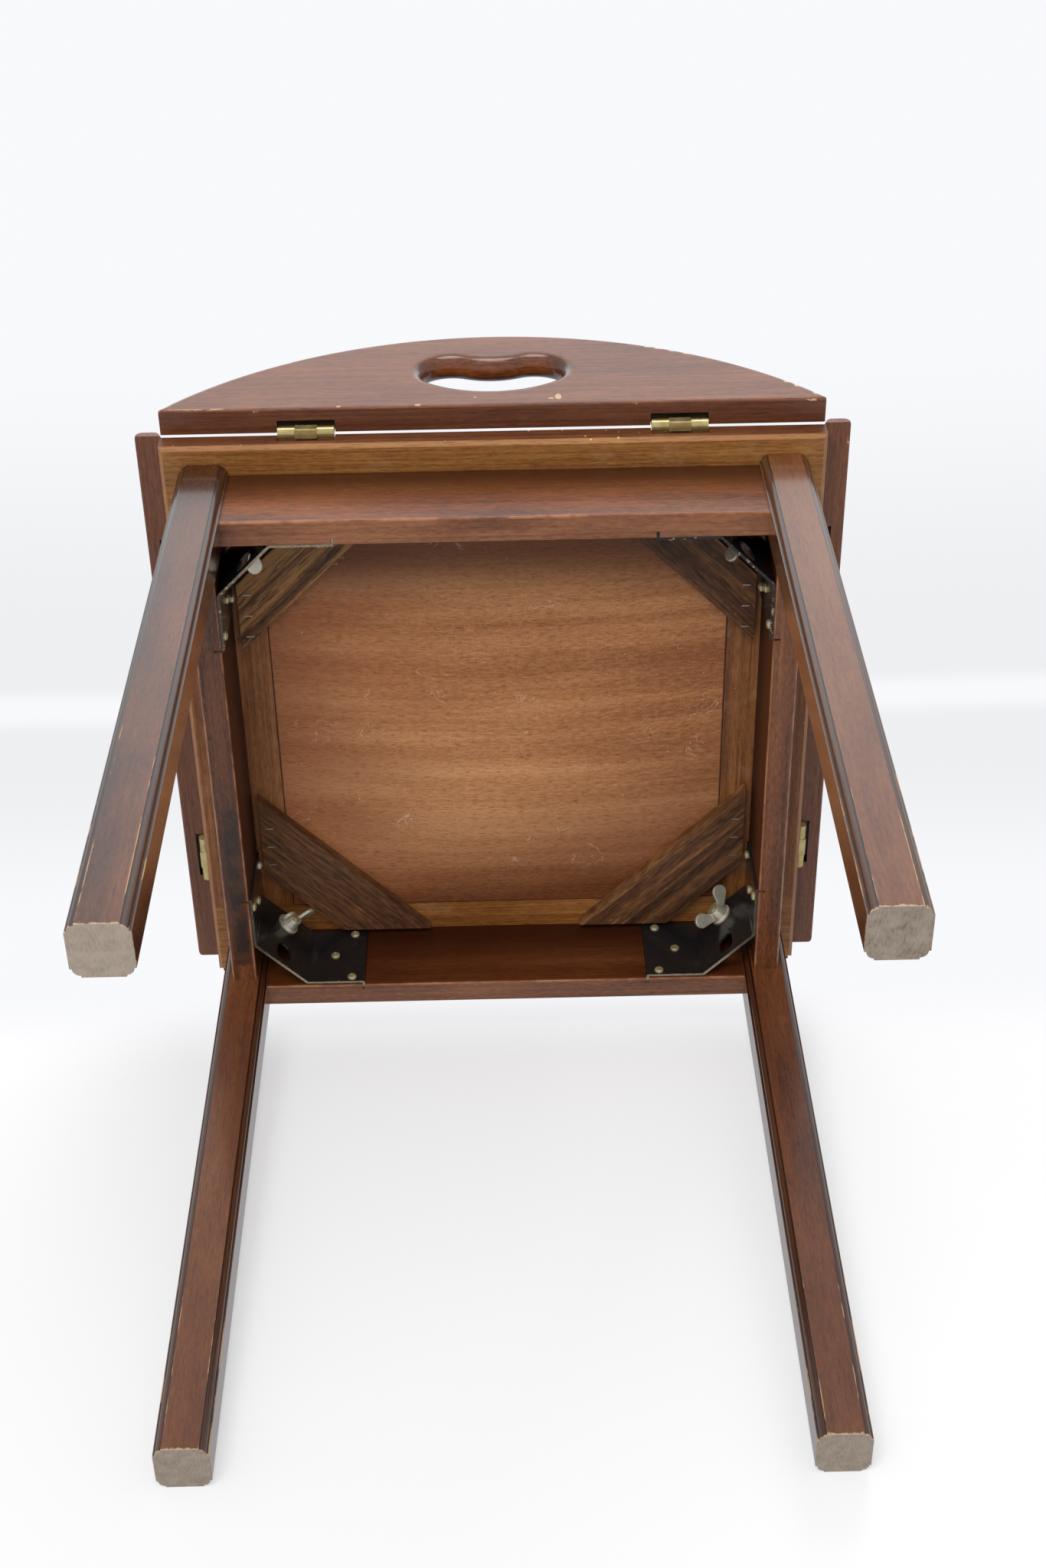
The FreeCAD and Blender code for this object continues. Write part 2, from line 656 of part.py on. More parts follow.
def make_leaf_blank():
    body = new_body("leaf_blank")
    half = f"({TRAY} - dims.leaf_tip)"
    bow = "(dims.leaf_rise - dims.leaf_end)"
    radius = f"({half} ^ 2 + {bow} ^ 2) / (2 * {bow})"
    shoulder = f"{LEAF_LOW} + dims.leaf_end"
    corners = [
        (neg(half), LEAF_LOW), (half, LEAF_LOW), (half, shoulder, (radius, 1, False)), (neg(half), shoulder),
    ]
    board = Outline(body, "leaf_outline", "XZ_Plane", LEAF_INNER).loop(corners)
    pad(body, "leaf_board", board, "dims.leaf_thick")
    rounded(body, "leaf_rounds", "dims.leaf_round", lambda edge: is_arc_of(edge, radius))

    def is_low_arris(edge):
        return lies_on(edge, "z", LEAF_LOW) and lies_on(edge, "y", neg(LEAF_OUTER))

    rounded(body, "leaf_low_arris", "dims.leaf_arris", is_low_arris)
    low_turn = f"atan2({HAND_LOW_RISE}; dims.hand_reach)"
    dip_turn = f"atan2({HAND_DIP_RISE}; dims.hand_reach)"
    low = (f"(dims.hand_reach + dims.hand_end * cos({low_turn}))",
           f"{LEAF_LOW} + dims.hand_rise - dims.hand_end * sin({low_turn})")
    high = (f"(dims.hand_reach - dims.hand_end * cos({dip_turn}))",
            f"{LEAF_LOW} + dims.hand_rise + dims.hand_end * sin({dip_turn})")
    end = ("dims.hand_end", 1, False)
    hand = [
        (*low, end), (*high, ("dims.hand_dip", -1, False)),
        (neg(high[0]), high[1], end), (neg(low[0]), low[1], ("dims.hand_low", 1, False)),
    ]
    hole = Outline(body, "hand_hole_outline", "XZ_Plane", LEAF_INNER).loop(hand)
    pocket(body, "hand_hole", hole, "2 * (dims.leaf_thick + dims.overrun)")
    sizes = ["dims.hand_end", "dims.hand_low", "dims.hand_dip"]

    def is_rim(edge, face):
        return lies_on(edge, "y", neg(face)) and any(is_arc_of(edge, size) for size in sizes)

    rounded(body, "hand_round_outer", "dims.hand_round_out", lambda edge: is_rim(edge, LEAF_OUTER))
    rounded(body, "hand_round_inner", "dims.hand_round_in", lambda edge: is_rim(edge, LEAF_INNER))
    return body


def make_tray_plate():
    body = new_body("tray_plate_blank")
    half = "dims.hinge_length / 2"
    cam = "dims.cam_length / 2"
    back = f"-({TRAY} - dims.plate_reach)"
    shoulder = f"-({TRAY} - dims.plate_reach + dims.plate_round)"
    inside = f"({half} - dims.plate_round)"
    end = ("dims.plate_round", 1, False)
    corners = [
        (neg(cam), neg(PIN_OUT)), (cam, neg(PIN_OUT)), (cam, neg(TRAY_PLATE_FRONT)), (half, neg(TRAY_PLATE_FRONT)),
        (half, shoulder, end), (inside, back), (neg(inside), back, end), (neg(half), shoulder),
        (neg(half), neg(TRAY_PLATE_FRONT)), (neg(cam), neg(TRAY_PLATE_FRONT)),
    ]
    plate = Outline(body, "tray_plate_outline", "XY_Plane", f"{TRAY_TOP} - dims.plate_thick").loop(corners)
    pad(body, "tray_plate_sheet", plate, "dims.plate_thick")
    side = "dims.barrel_size / 2"
    flat = f"({side} - dims.cam_chamfer)"
    ring = [
        (flat, neg(side)), (side, neg(flat)), (side, flat), (flat, side),
        (neg(flat), side), (neg(side), flat), (neg(side), neg(flat)), (neg(flat), neg(side)),
    ]
    section = [(f"-({PIN_OUT}) + {across}", f"{PIN_RISE} + {rise}") for across, rise in ring]
    knuckle = Outline(body, "tray_plate_knuckle_section", "YZ_Plane").loop(section)
    pad(body, "tray_plate_knuckle", knuckle, "dims.cam_length", both=True)
    way = Outline(body, "tray_plate_pin_way", "YZ_Plane")
    way.circle((neg(PIN_OUT), PIN_RISE), "dims.pin_size / 2 + dims.pin_clearance")
    pocket(body, "tray_plate_pin_bore", way, "dims.hinge_length + dims.overrun")
    return body


def make_leaf_plate():
    body = new_body("leaf_plate_blank")
    half = "dims.hinge_length / 2"
    top = f"({LEAF_LOW} + dims.plate_reach)"
    shoulder = f"({top} - dims.plate_round)"
    inside = f"({half} - dims.plate_round)"
    end = ("dims.plate_round", 1, False)
    corners = [
        (neg(half), PIN_RISE), (half, PIN_RISE), (half, shoulder, end), (inside, top),
        (neg(inside), top, end), (neg(half), shoulder),
    ]
    plate = Outline(body, "leaf_plate_outline", "XZ_Plane", LEAF_INNER).loop(corners)
    pad(body, "leaf_plate_sheet", plate, "dims.plate_thick")
    barrel = Outline(body, "leaf_plate_barrel_section", "YZ_Plane")
    barrel.circle((neg(PIN_OUT), PIN_RISE), "dims.barrel_size / 2")
    pad(body, "leaf_plate_barrel", barrel, "dims.hinge_length", both=True)
    gap = "(dims.cam_length / 2 + dims.knuckle_gap)"
    low = f"{PIN_RISE} - dims.barrel_size"
    high = f"{PIN_RISE} + {CAM_SWEEP}"
    opening = [(neg(gap), low), (gap, low), (gap, high), (neg(gap), high)]
    notch = Outline(body, "leaf_plate_notch_outline", "XZ_Plane", PIN_OUT).loop(opening)
    pocket(body, "leaf_plate_notch", notch, "2 * dims.barrel_size")
    way = Outline(body, "leaf_plate_pin_way", "YZ_Plane")
    way.circle((neg(PIN_OUT), PIN_RISE), "dims.pin_size / 2")
    pocket(body, "leaf_plate_pin_bore", way, "dims.hinge_length + dims.overrun")
    return body


def make_plate_screws(screw, name, places, rotation):
    members = [copy_of(f"{name}_{number}", screw, place, rotation) for number, place in enumerate(places, 1)]
    return group(name, members)


def both_hinges(name, source):
    left = copy_of(f"{name}_left", source, (neg(HINGE), "0", "0"))
    right = copy_of(f"{name}_right", source, (HINGE, "0", "0"))
    return [left, right]


pieces = []


def keep(item, name):
    item.Label = name
    pieces.append(item)


# Fasteners and hardware at one corner and one side, before the wood that they cut into.
pan_screw = make_pan_screw()
corner_screws = make_corner_screws(pan_screw)
bracket_screws = group("bracket_screws", [turned(f"corner_screws_{n}", corner_screws, n) for n in range(4)])
bolt = make_bolt()
hanger_bolts = group("hanger_bolts", [turned(f"hanger_bolt_{n}", bolt, n) for n in range(4)])
# The crown of every staple lies along X, whichever corner it is in.
staple = make_staple()
corner_staples = []
for quarters, corner in enumerate(CORNERS):
    crown_turn = FreeCAD.Rotation(UP, -QUARTER * quarters)
    corner_staples.append(make_corner_staples(staple, f"staples_{corner}", crown_turn))
placed_staples = [turned(f"placed_staples_{n}", corner_staples[n], n) for n in range(4)]
block_staples = group("block_staples", placed_staples)

sunk_screw = make_sunk_screw()
sunk_spots = [
    ("-dims.sunk_side", "dims.sunk_near"), ("dims.sunk_side", "dims.sunk_near"), ("0", "dims.sunk_far"),
]
tray_spots = [(across, f"-({TRAY} - {inward})", TRAY_TOP) for across, inward in sunk_spots]
leaf_spots = [(across, neg(LEAF_INNER), f"{LEAF_LOW} + {rise}") for across, rise in sunk_spots]
tray_plate_screws = make_plate_screws(sunk_screw, "tray_plate_screw", tray_spots, FreeCAD.Rotation())
leaf_plate_screws = make_plate_screws(sunk_screw, "leaf_plate_screw", leaf_spots, TO_BACK)
tray_plate_blank = make_tray_plate()
leaf_plate_blank = make_leaf_plate()
tray_plate = cut("tray_plate", tray_plate_blank, tray_plate_screws)
leaf_plate = cut("leaf_plate", leaf_plate_blank, leaf_plate_screws)
pin_start = ("-dims.hinge_length / 2", neg(PIN_OUT), PIN_RISE)
hinge_pin = rod("hinge_pin", "dims.pin_size", "dims.hinge_length", pin_start, TO_RIGHT)

# Recesses for the hinges in the tray's edge and the leaf's edge.
pocket_length = "(dims.hinge_length + 2 * dims.pocket_end)"
leaf_pocket = block(
    "leaf_pocket",
    (pocket_length, "dims.leaf_pocket_depth + dims.overrun", "dims.leaf_pocket_height + dims.overrun"),
    (f"-{pocket_length} / 2", f"-({LEAF_INNER} + dims.leaf_pocket_depth)", f"{LEAF_LOW} - dims.overrun"))
tray_pocket = block(
    "tray_pocket",
    (pocket_length, "dims.tray_pocket_depth + dims.overrun", "dims.tray_pocket_drop + dims.overrun"),
    (f"-{pocket_length} / 2", f"-({TRAY} + dims.overrun)", f"{TRAY_TOP} - dims.tray_pocket_drop"))
tray_recess = group("tray_recess", [tray_plate_blank, tray_plate_screws, tray_pocket])
leaf_recess = group("leaf_recess", [leaf_plate_blank, leaf_plate_screws, leaf_pocket])
front_tray_recesses = group("front_tray_recesses", both_hinges("tray_recess", tray_recess))
front_leaf_recesses = group("front_leaf_recesses", both_hinges("leaf_recess", leaf_recess))
left_tray_recesses = turned("left_tray_recesses", front_tray_recesses, 3)

# Legs, aprons, brackets and wing nuts.
leg = cut("leg", make_leg_blank(), bolt)
kerfs = group("kerfs", [make_kerf("kerf_right", 1), make_kerf("kerf_left", -1)])
apron = cut("apron", cut("apron_kerfed", make_apron_blank(), kerfs), bracket_screws)
bracket = cut("bracket", make_bracket_blank(), make_bracket_holes())
nut_blank = make_nut()
for quarters, corner in enumerate(CORNERS):
    keep(turned(f"leg_{corner}", leg, quarters), f"leg_{corner}")
    keep(turned(f"corner_bracket_{corner}", bracket, quarters), f"corner_bracket_{corner}")
    spin = FreeCAD.Rotation(INWARD).multiply(FreeCAD.Rotation(UP, NUT_TURNS[corner]))
    seat = diagonal_place(PLATE_INNER_REACH, BOLT_RISE)
    seated = copy_of(f"nut_seated_{corner}", nut_blank, seat, spin)
    keep(turned(f"wing_nut_{corner}", seated, quarters), f"wing_nut_{corner}")
for quarters, side in enumerate(SIDES):
    keep(turned(f"apron_{side}", apron, quarters), f"apron_{side}")
keep(bracket_screws, "bracket_screws")
keep(hanger_bolts, "hanger_bolts")

# The tray: rails, panel, blocks and staples.
cross_cuts = group("cross_cuts", [front_tray_recesses, block_staples])
side_cuts = group("side_cuts", [left_tray_recesses, block_staples])
cross_rail = cut("cross_rail_let_in", make_cross_rail(), cross_cuts)
side_rail = cut("side_rail_let_in", make_side_rail(), side_cuts)
keep(turned("tray_rail_front", cross_rail, 0), "tray_rail_front")
keep(turned("tray_rail_back", cross_rail, 2), "tray_rail_back")
keep(turned("tray_rail_left", side_rail, 0), "tray_rail_left")
keep(turned("tray_rail_right", side_rail, 2), "tray_rail_right")
keep(make_panel(), "tray_panel")
front_block = make_block_blank("front_block", "dims.front_block_side")
back_block = make_block_blank("back_block", "dims.back_block_side")
blocks = [front_block, front_block, back_block, back_block]
for quarters, corner in enumerate(CORNERS):
    stapled = cut(f"stapled_block_{corner}", blocks[quarters], corner_staples[quarters])
    keep(turned(f"corner_block_{corner}", stapled, quarters), f"corner_block_{corner}")
keep(block_staples, "block_staples")

# The leaves and their hinges.
leaf = cut("leaf", make_leaf_blank(), front_leaf_recesses)
side_tray_screws = group("side_tray_screws", both_hinges("tray_screws", tray_plate_screws))
side_leaf_screws = group("side_leaf_screws", both_hinges("leaf_screws", leaf_plate_screws))
side_pins = group("side_pins", both_hinges("pins", hinge_pin))
tray_plates = both_hinges("front_tray_plate", tray_plate)
leaf_plates = both_hinges("front_leaf_plate", leaf_plate)
for quarters, side in enumerate(SIDES):
    keep(turned(f"leaf_{side}", leaf, quarters), f"leaf_{side}")
    keep(turned(f"leaf_hinge_screws_{side}", side_leaf_screws, quarters), f"leaf_hinge_screws_{side}")
    keep(turned(f"hinge_pins_{side}", side_pins, quarters), f"hinge_pins_{side}")
    for number in range(2):
        tray_name = f"tray_hinge_plate_{side}_{number + 1}"
        leaf_name = f"leaf_hinge_plate_{side}_{number + 1}"
        keep(turned(tray_name, tray_plates[number], quarters), tray_name)
        keep(turned(leaf_name, leaf_plates[number], quarters), leaf_name)
all_tray_screws = [turned(f"screws_of_{side}", side_tray_screws, n) for n, side in enumerate(SIDES)]
keep(group("tray_hinge_screws", all_tray_screws), "tray_hinge_screws")

doc.recompute()
for item in doc.Objects:
    if "Invalid" in item.State or "Error" in item.State:
        raise RuntimeError(f"{item.Label} failed: {item.State}")
for item in pieces:
    if item.Shape.isNull() or not item.Shape.isValid() or not item.Shape.Solids:
        raise RuntimeError(f"{item.Label} has no valid solid")

os.makedirs("parts", exist_ok=True)
for item in pieces:
    item.Shape.exportStep(f"parts/{item.Label}.step")
print(f"{len(pieces)} pieces written")
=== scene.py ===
import math

import bmesh
import bpy
from mathutils import Matrix, Vector


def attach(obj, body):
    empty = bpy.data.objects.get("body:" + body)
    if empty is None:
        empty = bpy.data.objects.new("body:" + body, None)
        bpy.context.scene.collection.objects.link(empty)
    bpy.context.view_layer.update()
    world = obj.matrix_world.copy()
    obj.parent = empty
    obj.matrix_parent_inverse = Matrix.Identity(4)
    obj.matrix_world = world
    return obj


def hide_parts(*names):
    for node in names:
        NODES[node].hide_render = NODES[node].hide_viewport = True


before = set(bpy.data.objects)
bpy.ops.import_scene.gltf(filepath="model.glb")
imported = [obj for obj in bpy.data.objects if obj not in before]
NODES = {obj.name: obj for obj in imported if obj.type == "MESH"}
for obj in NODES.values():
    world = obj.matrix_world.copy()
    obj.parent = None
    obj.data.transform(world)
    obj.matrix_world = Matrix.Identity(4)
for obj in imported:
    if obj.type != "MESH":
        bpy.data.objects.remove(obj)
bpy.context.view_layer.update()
SIDES = ["front", "right", "back", "left"]
CORNERS = ["front_left", "front_right", "back_right", "back_left"]
MM = 0.001
QUARTER = math.pi / 2

# Places of the pieces, in metres, as the solids have them.
LEG_MIDDLE = 0.2
LEG_HALF = 0.017
LEG_FLAT = 0.0115
TRAY_LOW = 0.51
TRAY_MIDDLE = 0.519
TRAY_TOP = 0.528
TRAY_HALF = 0.23
PANEL_HALF = 0.1654
LEAF_LOW = 0.53
LEAF_INNER = 0.2305
LEAF_OUTER = 0.2485
HAND_RISE = 0.584
HAND_HALF_WIDTH = 0.0605
HAND_HALF_HEIGHT = 0.0358
APRON_LOW = 0.44
APRON_INNER = 0.19
BRACKET_LOW = 0.442
BRACKET_FACE = 0.188
HINGE_MIDDLE = 0.129
RECESS_HALF = 0.0201
RECESS_FLOOR = 0.2396
RECESS_HIGH = 0.0051
# A point this near to a face's plane is taken as part of that face.
FACE = 0.0001


class Tree:
    """A node tree, built from plain calls that return sockets."""

    def __init__(self, tree):
        self.tree = tree
        tree.nodes.clear()

    def add(self, kind, inputs=None, **settings):
        node = self.tree.nodes.new(kind)
        for key, setting in settings.items():
            setattr(node, key, setting)
        for key, given in (inputs or {}).items():
            if isinstance(given, bpy.types.NodeSocket):
                self.tree.links.new(given, node.inputs[key])
            else:
                node.inputs[key].default_value = given
        return node

    def calc(self, operation, first, second=0.0):
        return self.add("ShaderNodeMath", {0: first, 1: second}, operation=operation).outputs[0]

    def chain(self, operation, values):
        total = values[0]
        for value in values[1:]:
            total = self.calc(operation, total, value)
        return total

    def plus(self, *values):
        return self.chain("ADD", values)

    def times(self, *values):
        return self.chain("MULTIPLY", values)

    def most(self, *values):
        return self.chain("MAXIMUM", values)

    def least(self, *values):
        return self.chain("MINIMUM", values)

    def minus(self, first, second):
        return self.calc("SUBTRACT", first, second)

    def rest(self, share):
        return self.minus(1.0, share)

    def over(self, value, limit):
        return self.calc("GREATER_THAN", value, limit)

    def under(self, value, limit):
        return self.calc("LESS_THAN", value, limit)

    def size(self, value):
        return self.calc("ABSOLUTE", value)

    def apart(self, first, second):
        return self.size(self.minus(first, second))

    def square(self, value):
        return self.calc("POWER", value, 2.0)

    def reach(self, first, second):
        """The length of the two parts at a right angle."""
        return self.calc("SQRT", self.plus(self.square(first), self.square(second)))

    def swing(self, value, weight):
        """How far a noise lies from its middle, up or down, times a weight."""
        return self.times(self.minus(value, 0.5), weight)

    def span(self, value, low, high, first=0.0, last=1.0):
        given = {0: value, 1: low, 2: high, 3: first, 4: last}
        return self.add("ShaderNodeMapRange", given, clamp=True, interpolation_type="SMOOTHSTEP").outputs[0]

    def mix(self, share, first, second):
        return self.add("ShaderNodeMixShader", {0: share, 1: first, 2: second}).outputs[0]


class Shader(Tree):
    """A material. Its coordinates are those of the solids at rest."""

    def __init__(self, name):
        self.material = bpy.data.materials.new(name)
        self.material.use_nodes = True
        super().__init__(self.material.node_tree)
        self.spot = self.add("ShaderNodeTexCoord").outputs["Object"]

    def move(self, vector, scale=(1, 1, 1), offset=(0, 0, 0), turn=0.0):
        given = {"Vector": vector, "Scale": scale, "Location": offset, "Rotation": (0, 0, turn)}
        return self.add("ShaderNodeMapping", given).outputs[0]

    def axes(self, vector=None):
        return self.add("ShaderNodeSeparateXYZ", {0: vector or self.spot}).outputs

    def joined(self, x, y, z):
        return self.add("ShaderNodeCombineXYZ", {0: x, 1: y, 2: z}).outputs[0]

    def noise(self, vector, scale=1.0, detail=2.0, rough=0.5, warp=0.0):
        given = {"Vector": vector, "Scale": scale, "Detail": detail, "Roughness": rough, "Distortion": warp}
        return self.add("ShaderNodeTexNoise", given).outputs["Fac"]

    def streaks(self, space, scale, detail=2.0, rough=0.5):
        """Noise drawn out along the axes of a space."""
        return self.noise(self.move(space, scale), detail=detail, rough=rough)

    def layered(self, base, layers):
        """The base with noise layers added, each as far as its weight, up and down from its middle."""
        return self.plus(base, *[self.swing(layer, weight) for layer, weight in layers])

    def ramp(self, value, stops):
        node = self.add("ShaderNodeValToRGB", {0: value})
        while len(node.color_ramp.elements) < len(stops):
            node.color_ramp.elements.new(0.5)
        for element, (place, colour) in zip(node.color_ramp.elements, stops):
            element.position = place
            element.color = (*colour, 1)
        return node.outputs[0]

    def blend(self, share, first, second, mode="MIX"):
        first, second = [(*c, 1) if isinstance(c, tuple) else c for c in (first, second)]
        node = self.add("ShaderNodeMix", {0: share, 6: first, 7: second}, data_type="RGBA", blend_type=mode)
        return node.outputs[2]

    def specks(self, scale, reach, share, seed=0.0):
        """Small scattered spots: reach is a spot's size in cells, share how many cells have one."""
        vector = self.move(self.spot, offset=(seed, seed * 0.7, seed * 0.4))
        cells = self.add("ShaderNodeTexVoronoi", {"Vector": vector, "Scale": scale})
        chosen = self.under(self.axes(cells.outputs["Color"])[0], share)
        return self.times(self.span(cells.outputs["Distance"], reach, reach * 0.5), chosen)

    def bump(self, height, depth, strength):
        return self.add("ShaderNodeBump", {"Height": height, "Distance": depth, "Strength": strength}).outputs[0]

    def finish(self, **inputs):
        inputs = {key.replace("_", " "): given for key, given in inputs.items()}
        surface = self.add("ShaderNodeBsdfPrincipled", inputs).outputs[0]
        self.add("ShaderNodeOutputMaterial", {"Surface": surface})
        return self.material


# Wood, as (tone, colour) stops from dark to light.
DARK_MAHOGANY = [(0.3, (0.06, 0.0125, 0.0026)), (0.48, (0.19, 0.05, 0.011)), (0.62, (0.27, 0.08, 0.019)),
                 (0.8, (0.36, 0.13, 0.04))]
APRON_UNDER = [(0.32, (0.045, 0.013, 0.0045)), (0.54, (0.18, 0.06, 0.021)), (0.76, (0.34, 0.14, 0.058))]
LEG_MAHOGANY = [(0.3, (0.038, 0.009, 0.0022)), (0.48, (0.105, 0.029, 0.0082)), (0.62, (0.15, 0.046, 0.0135)),
                (0.8, (0.21, 0.075, 0.026))]
SAWN_END = [(0.32, (0.1, 0.078, 0.062)), (0.5, (0.29, 0.235, 0.19)), (0.75, (0.42, 0.35, 0.29))]
LEAF_MAHOGANY = [(0.26, (0.07, 0.0175, 0.0055)), (0.48, (0.165, 0.049, 0.0175)), (0.64, (0.235, 0.08, 0.031)),
                 (0.82, (0.31, 0.125, 0.055))]
HAND_STAIN = [(0.3, (0.03, 0.007, 0.002)), (0.52, (0.17, 0.045, 0.01)), (0.75, (0.28, 0.085, 0.02))]
PANEL_MAHOGANY = [(0.25, (0.26, 0.09, 0.03)), (0.45, (0.44, 0.182, 0.07)), (0.6, (0.56, 0.26, 0.108)),
                  (0.8, (0.68, 0.355, 0.17))]
PANEL_TOP = [(0.3, (0.085, 0.026, 0.012)), (0.5, (0.16, 0.056, 0.026)), (0.65, (0.21, 0.08, 0.04)),
             (0.82, (0.27, 0.115, 0.06))]
RAIL_BARE = [(0.26, (0.105, 0.035, 0.0065)), (0.48, (0.235, 0.09, 0.019)), (0.62, (0.325, 0.142, 0.035)),
             (0.8, (0.43, 0.21, 0.065))]
RAIL_POLISHED = [(0.3, (0.07, 0.02, 0.007)), (0.5, (0.16, 0.05, 0.017)), (0.65, (0.22, 0.078, 0.028)),
                 (0.82, (0.29, 0.12, 0.05))]
BLOCK_WOOD = [(0.26, (0.02, 0.0075, 0.0036)), (0.46, (0.085, 0.0335, 0.014)), (0.62, (0.165, 0.069, 0.0255)),
              (0.82, (0.36, 0.175, 0.06))]

# Marks of age and use, and painted shade.
PORE = (0.018, 0.006, 0.003)
# Painted shade on a leg's round and in the quirk beside it.
MOULDING_SHADE = (0.02, 0.006, 0.004)
QUIRK_SHADE = (0.009, 0.004, 0.003)
LEG_WORN = (0.56, 0.34, 0.16)
FOOT_RIM = (0.6, 0.42, 0.26)
# Painted shade on the aprons under the tray's overhang.
OVERHANG_SHADE = (0.03, 0.006, 0.0014)
APRON_ROUND_LIGHT = (0.42, 0.17, 0.065)
APRON_SMUDGE = (0.012, 0.009, 0.009)
# Painted shade on the aprons' inner faces.
APRON_INNER_SHADE = (0.03, 0.0055, 0.0012)
LEAF_EDGE_STAIN = (0.05, 0.0135, 0.006)
LEAF_CHIP = (0.62, 0.4, 0.22)
LEAF_KNOCK = (0.66, 0.45, 0.25)
# Painted shade in the hinge recesses.
RECESS_SHADE = (0.004, 0.002, 0.0015)
# Painted shade deep in the hand hole and towards its ends.
HAND_INNER_SHADE = (0.016, 0.005, 0.003)
HAND_END_SHADE = (0.03, 0.008, 0.003)
RAIL_BEVEL = (0.45, 0.21, 0.085)
RAIL_PORE = (0.035, 0.013, 0.005)
RAIL_SMEAR = (0.42, 0.28, 0.15)
RAIL_DUST = (0.6, 0.45, 0.28)
PAINT_SPLASH = (0.62, 0.64, 0.13)
PANEL_STAIN = (0.24, 0.066, 0.022)
# Darker panel ends; at the front, a painted shadow of the front apron.
PANEL_END_SHADE = (0.32, 0.21, 0.15)
PANEL_PORE = (0.075, 0.024, 0.01)
PANEL_DUST = (0.72, 0.56, 0.44)
PANEL_RIM = (0.03, 0.011, 0.006)
BLOCK_PORE = (0.014, 0.006, 0.004)
BLOCK_RUBBED = (0.35, 0.22, 0.12)
BLACK_DARK = (0.006, 0.006, 0.007)
BLACK_LIGHT = (0.016, 0.0145, 0.015)
BLACK_FLECK = (0.16, 0.13, 0.1)
BARE_STEEL = [(0.3, (0.3, 0.24, 0.15)), (0.7, (0.6, 0.52, 0.38))]

GRAIN_RELIEF = 0.3
GRAIN_ROUGH = 0.16
PORE_DEPTH = 0.00005
PORE_BUMP = 0.6
POLISH_IOR = 1.5


def grain_space(shader, along, seed):
    """Coordinates with the grain along X. along is the grain's turn about Z, or None for upright grain."""
    if along is None:
        x, y, z = shader.axes()
        turned = shader.joined(z, x, y)
    else:
        turned = shader.move(shader.spot, turn=-along)
    return shader.move(turned, offset=(seed * 0.37, seed * 0.053, seed * 0.091))


def wandering(shader, space, scale, wave, bow=None):
    """A grain space whose lines wander across the grain, and bow by a given value."""
    drift = shader.streaks(space, scale)
    x, y, z = shader.axes(space)
    y = shader.plus(y, shader.swing(drift, wave))
    if bow:
        y = shader.plus(y, bow)
    return shader.joined(x, y, z)


def grain(shader, along, seed, ribbon=0.0, band=0.5, streak=0.5, cloud=0.25):
    """Tone of the wood, 0 dark to 1 light, and its pores, from streaks that run with the grain."""
    space = wandering(shader, grain_space(shader, along, seed), (2.2, 9, 9), 0.004)
    tone = shader.layered(0.53, [
        (shader.streaks(space, (1.4, 60, 60), 3, 0.55), band),
        (shader.streaks(space, (9, 480, 480), 4, 0.65), streak),
        (shader.streaks(space, (7, 22, 22)), cloud),
        (shader.streaks(space, (170, 650, 650), 3, 0.6), 0.4),
    ])
    if ribbon:
        tone = shader.layered(tone, [
            (shader.streaks(space, (0.8, 95, 20), 1.5), ribbon),
            (shader.streaks(space, (40, 130, 60)), ribbon * 0.5),
        ])
    pores = shader.span(shader.streaks(space, (70, 1500, 1500), 1, 0.4), 0.56, 0.68)
    return tone, pores


def wood_height(shader, tone, pores):
    return shader.minus(shader.times(tone, GRAIN_RELIEF), pores)


def wood_rough(shader, roughness, tone):
    return shader.plus(roughness, shader.swing(tone, GRAIN_ROUGH))


def wood_finish(shader, colour, rough, height, coat, coat_roughness, depth=PORE_DEPTH, specular=0.5):
    return shader.finish(
        Base_Color=colour, Roughness=rough, Normal=shader.bump(height, depth, PORE_BUMP), Coat_Weight=coat,
        Coat_Roughness=coat_roughness, IOR=POLISH_IOR, Specular_IOR_Level=specular)


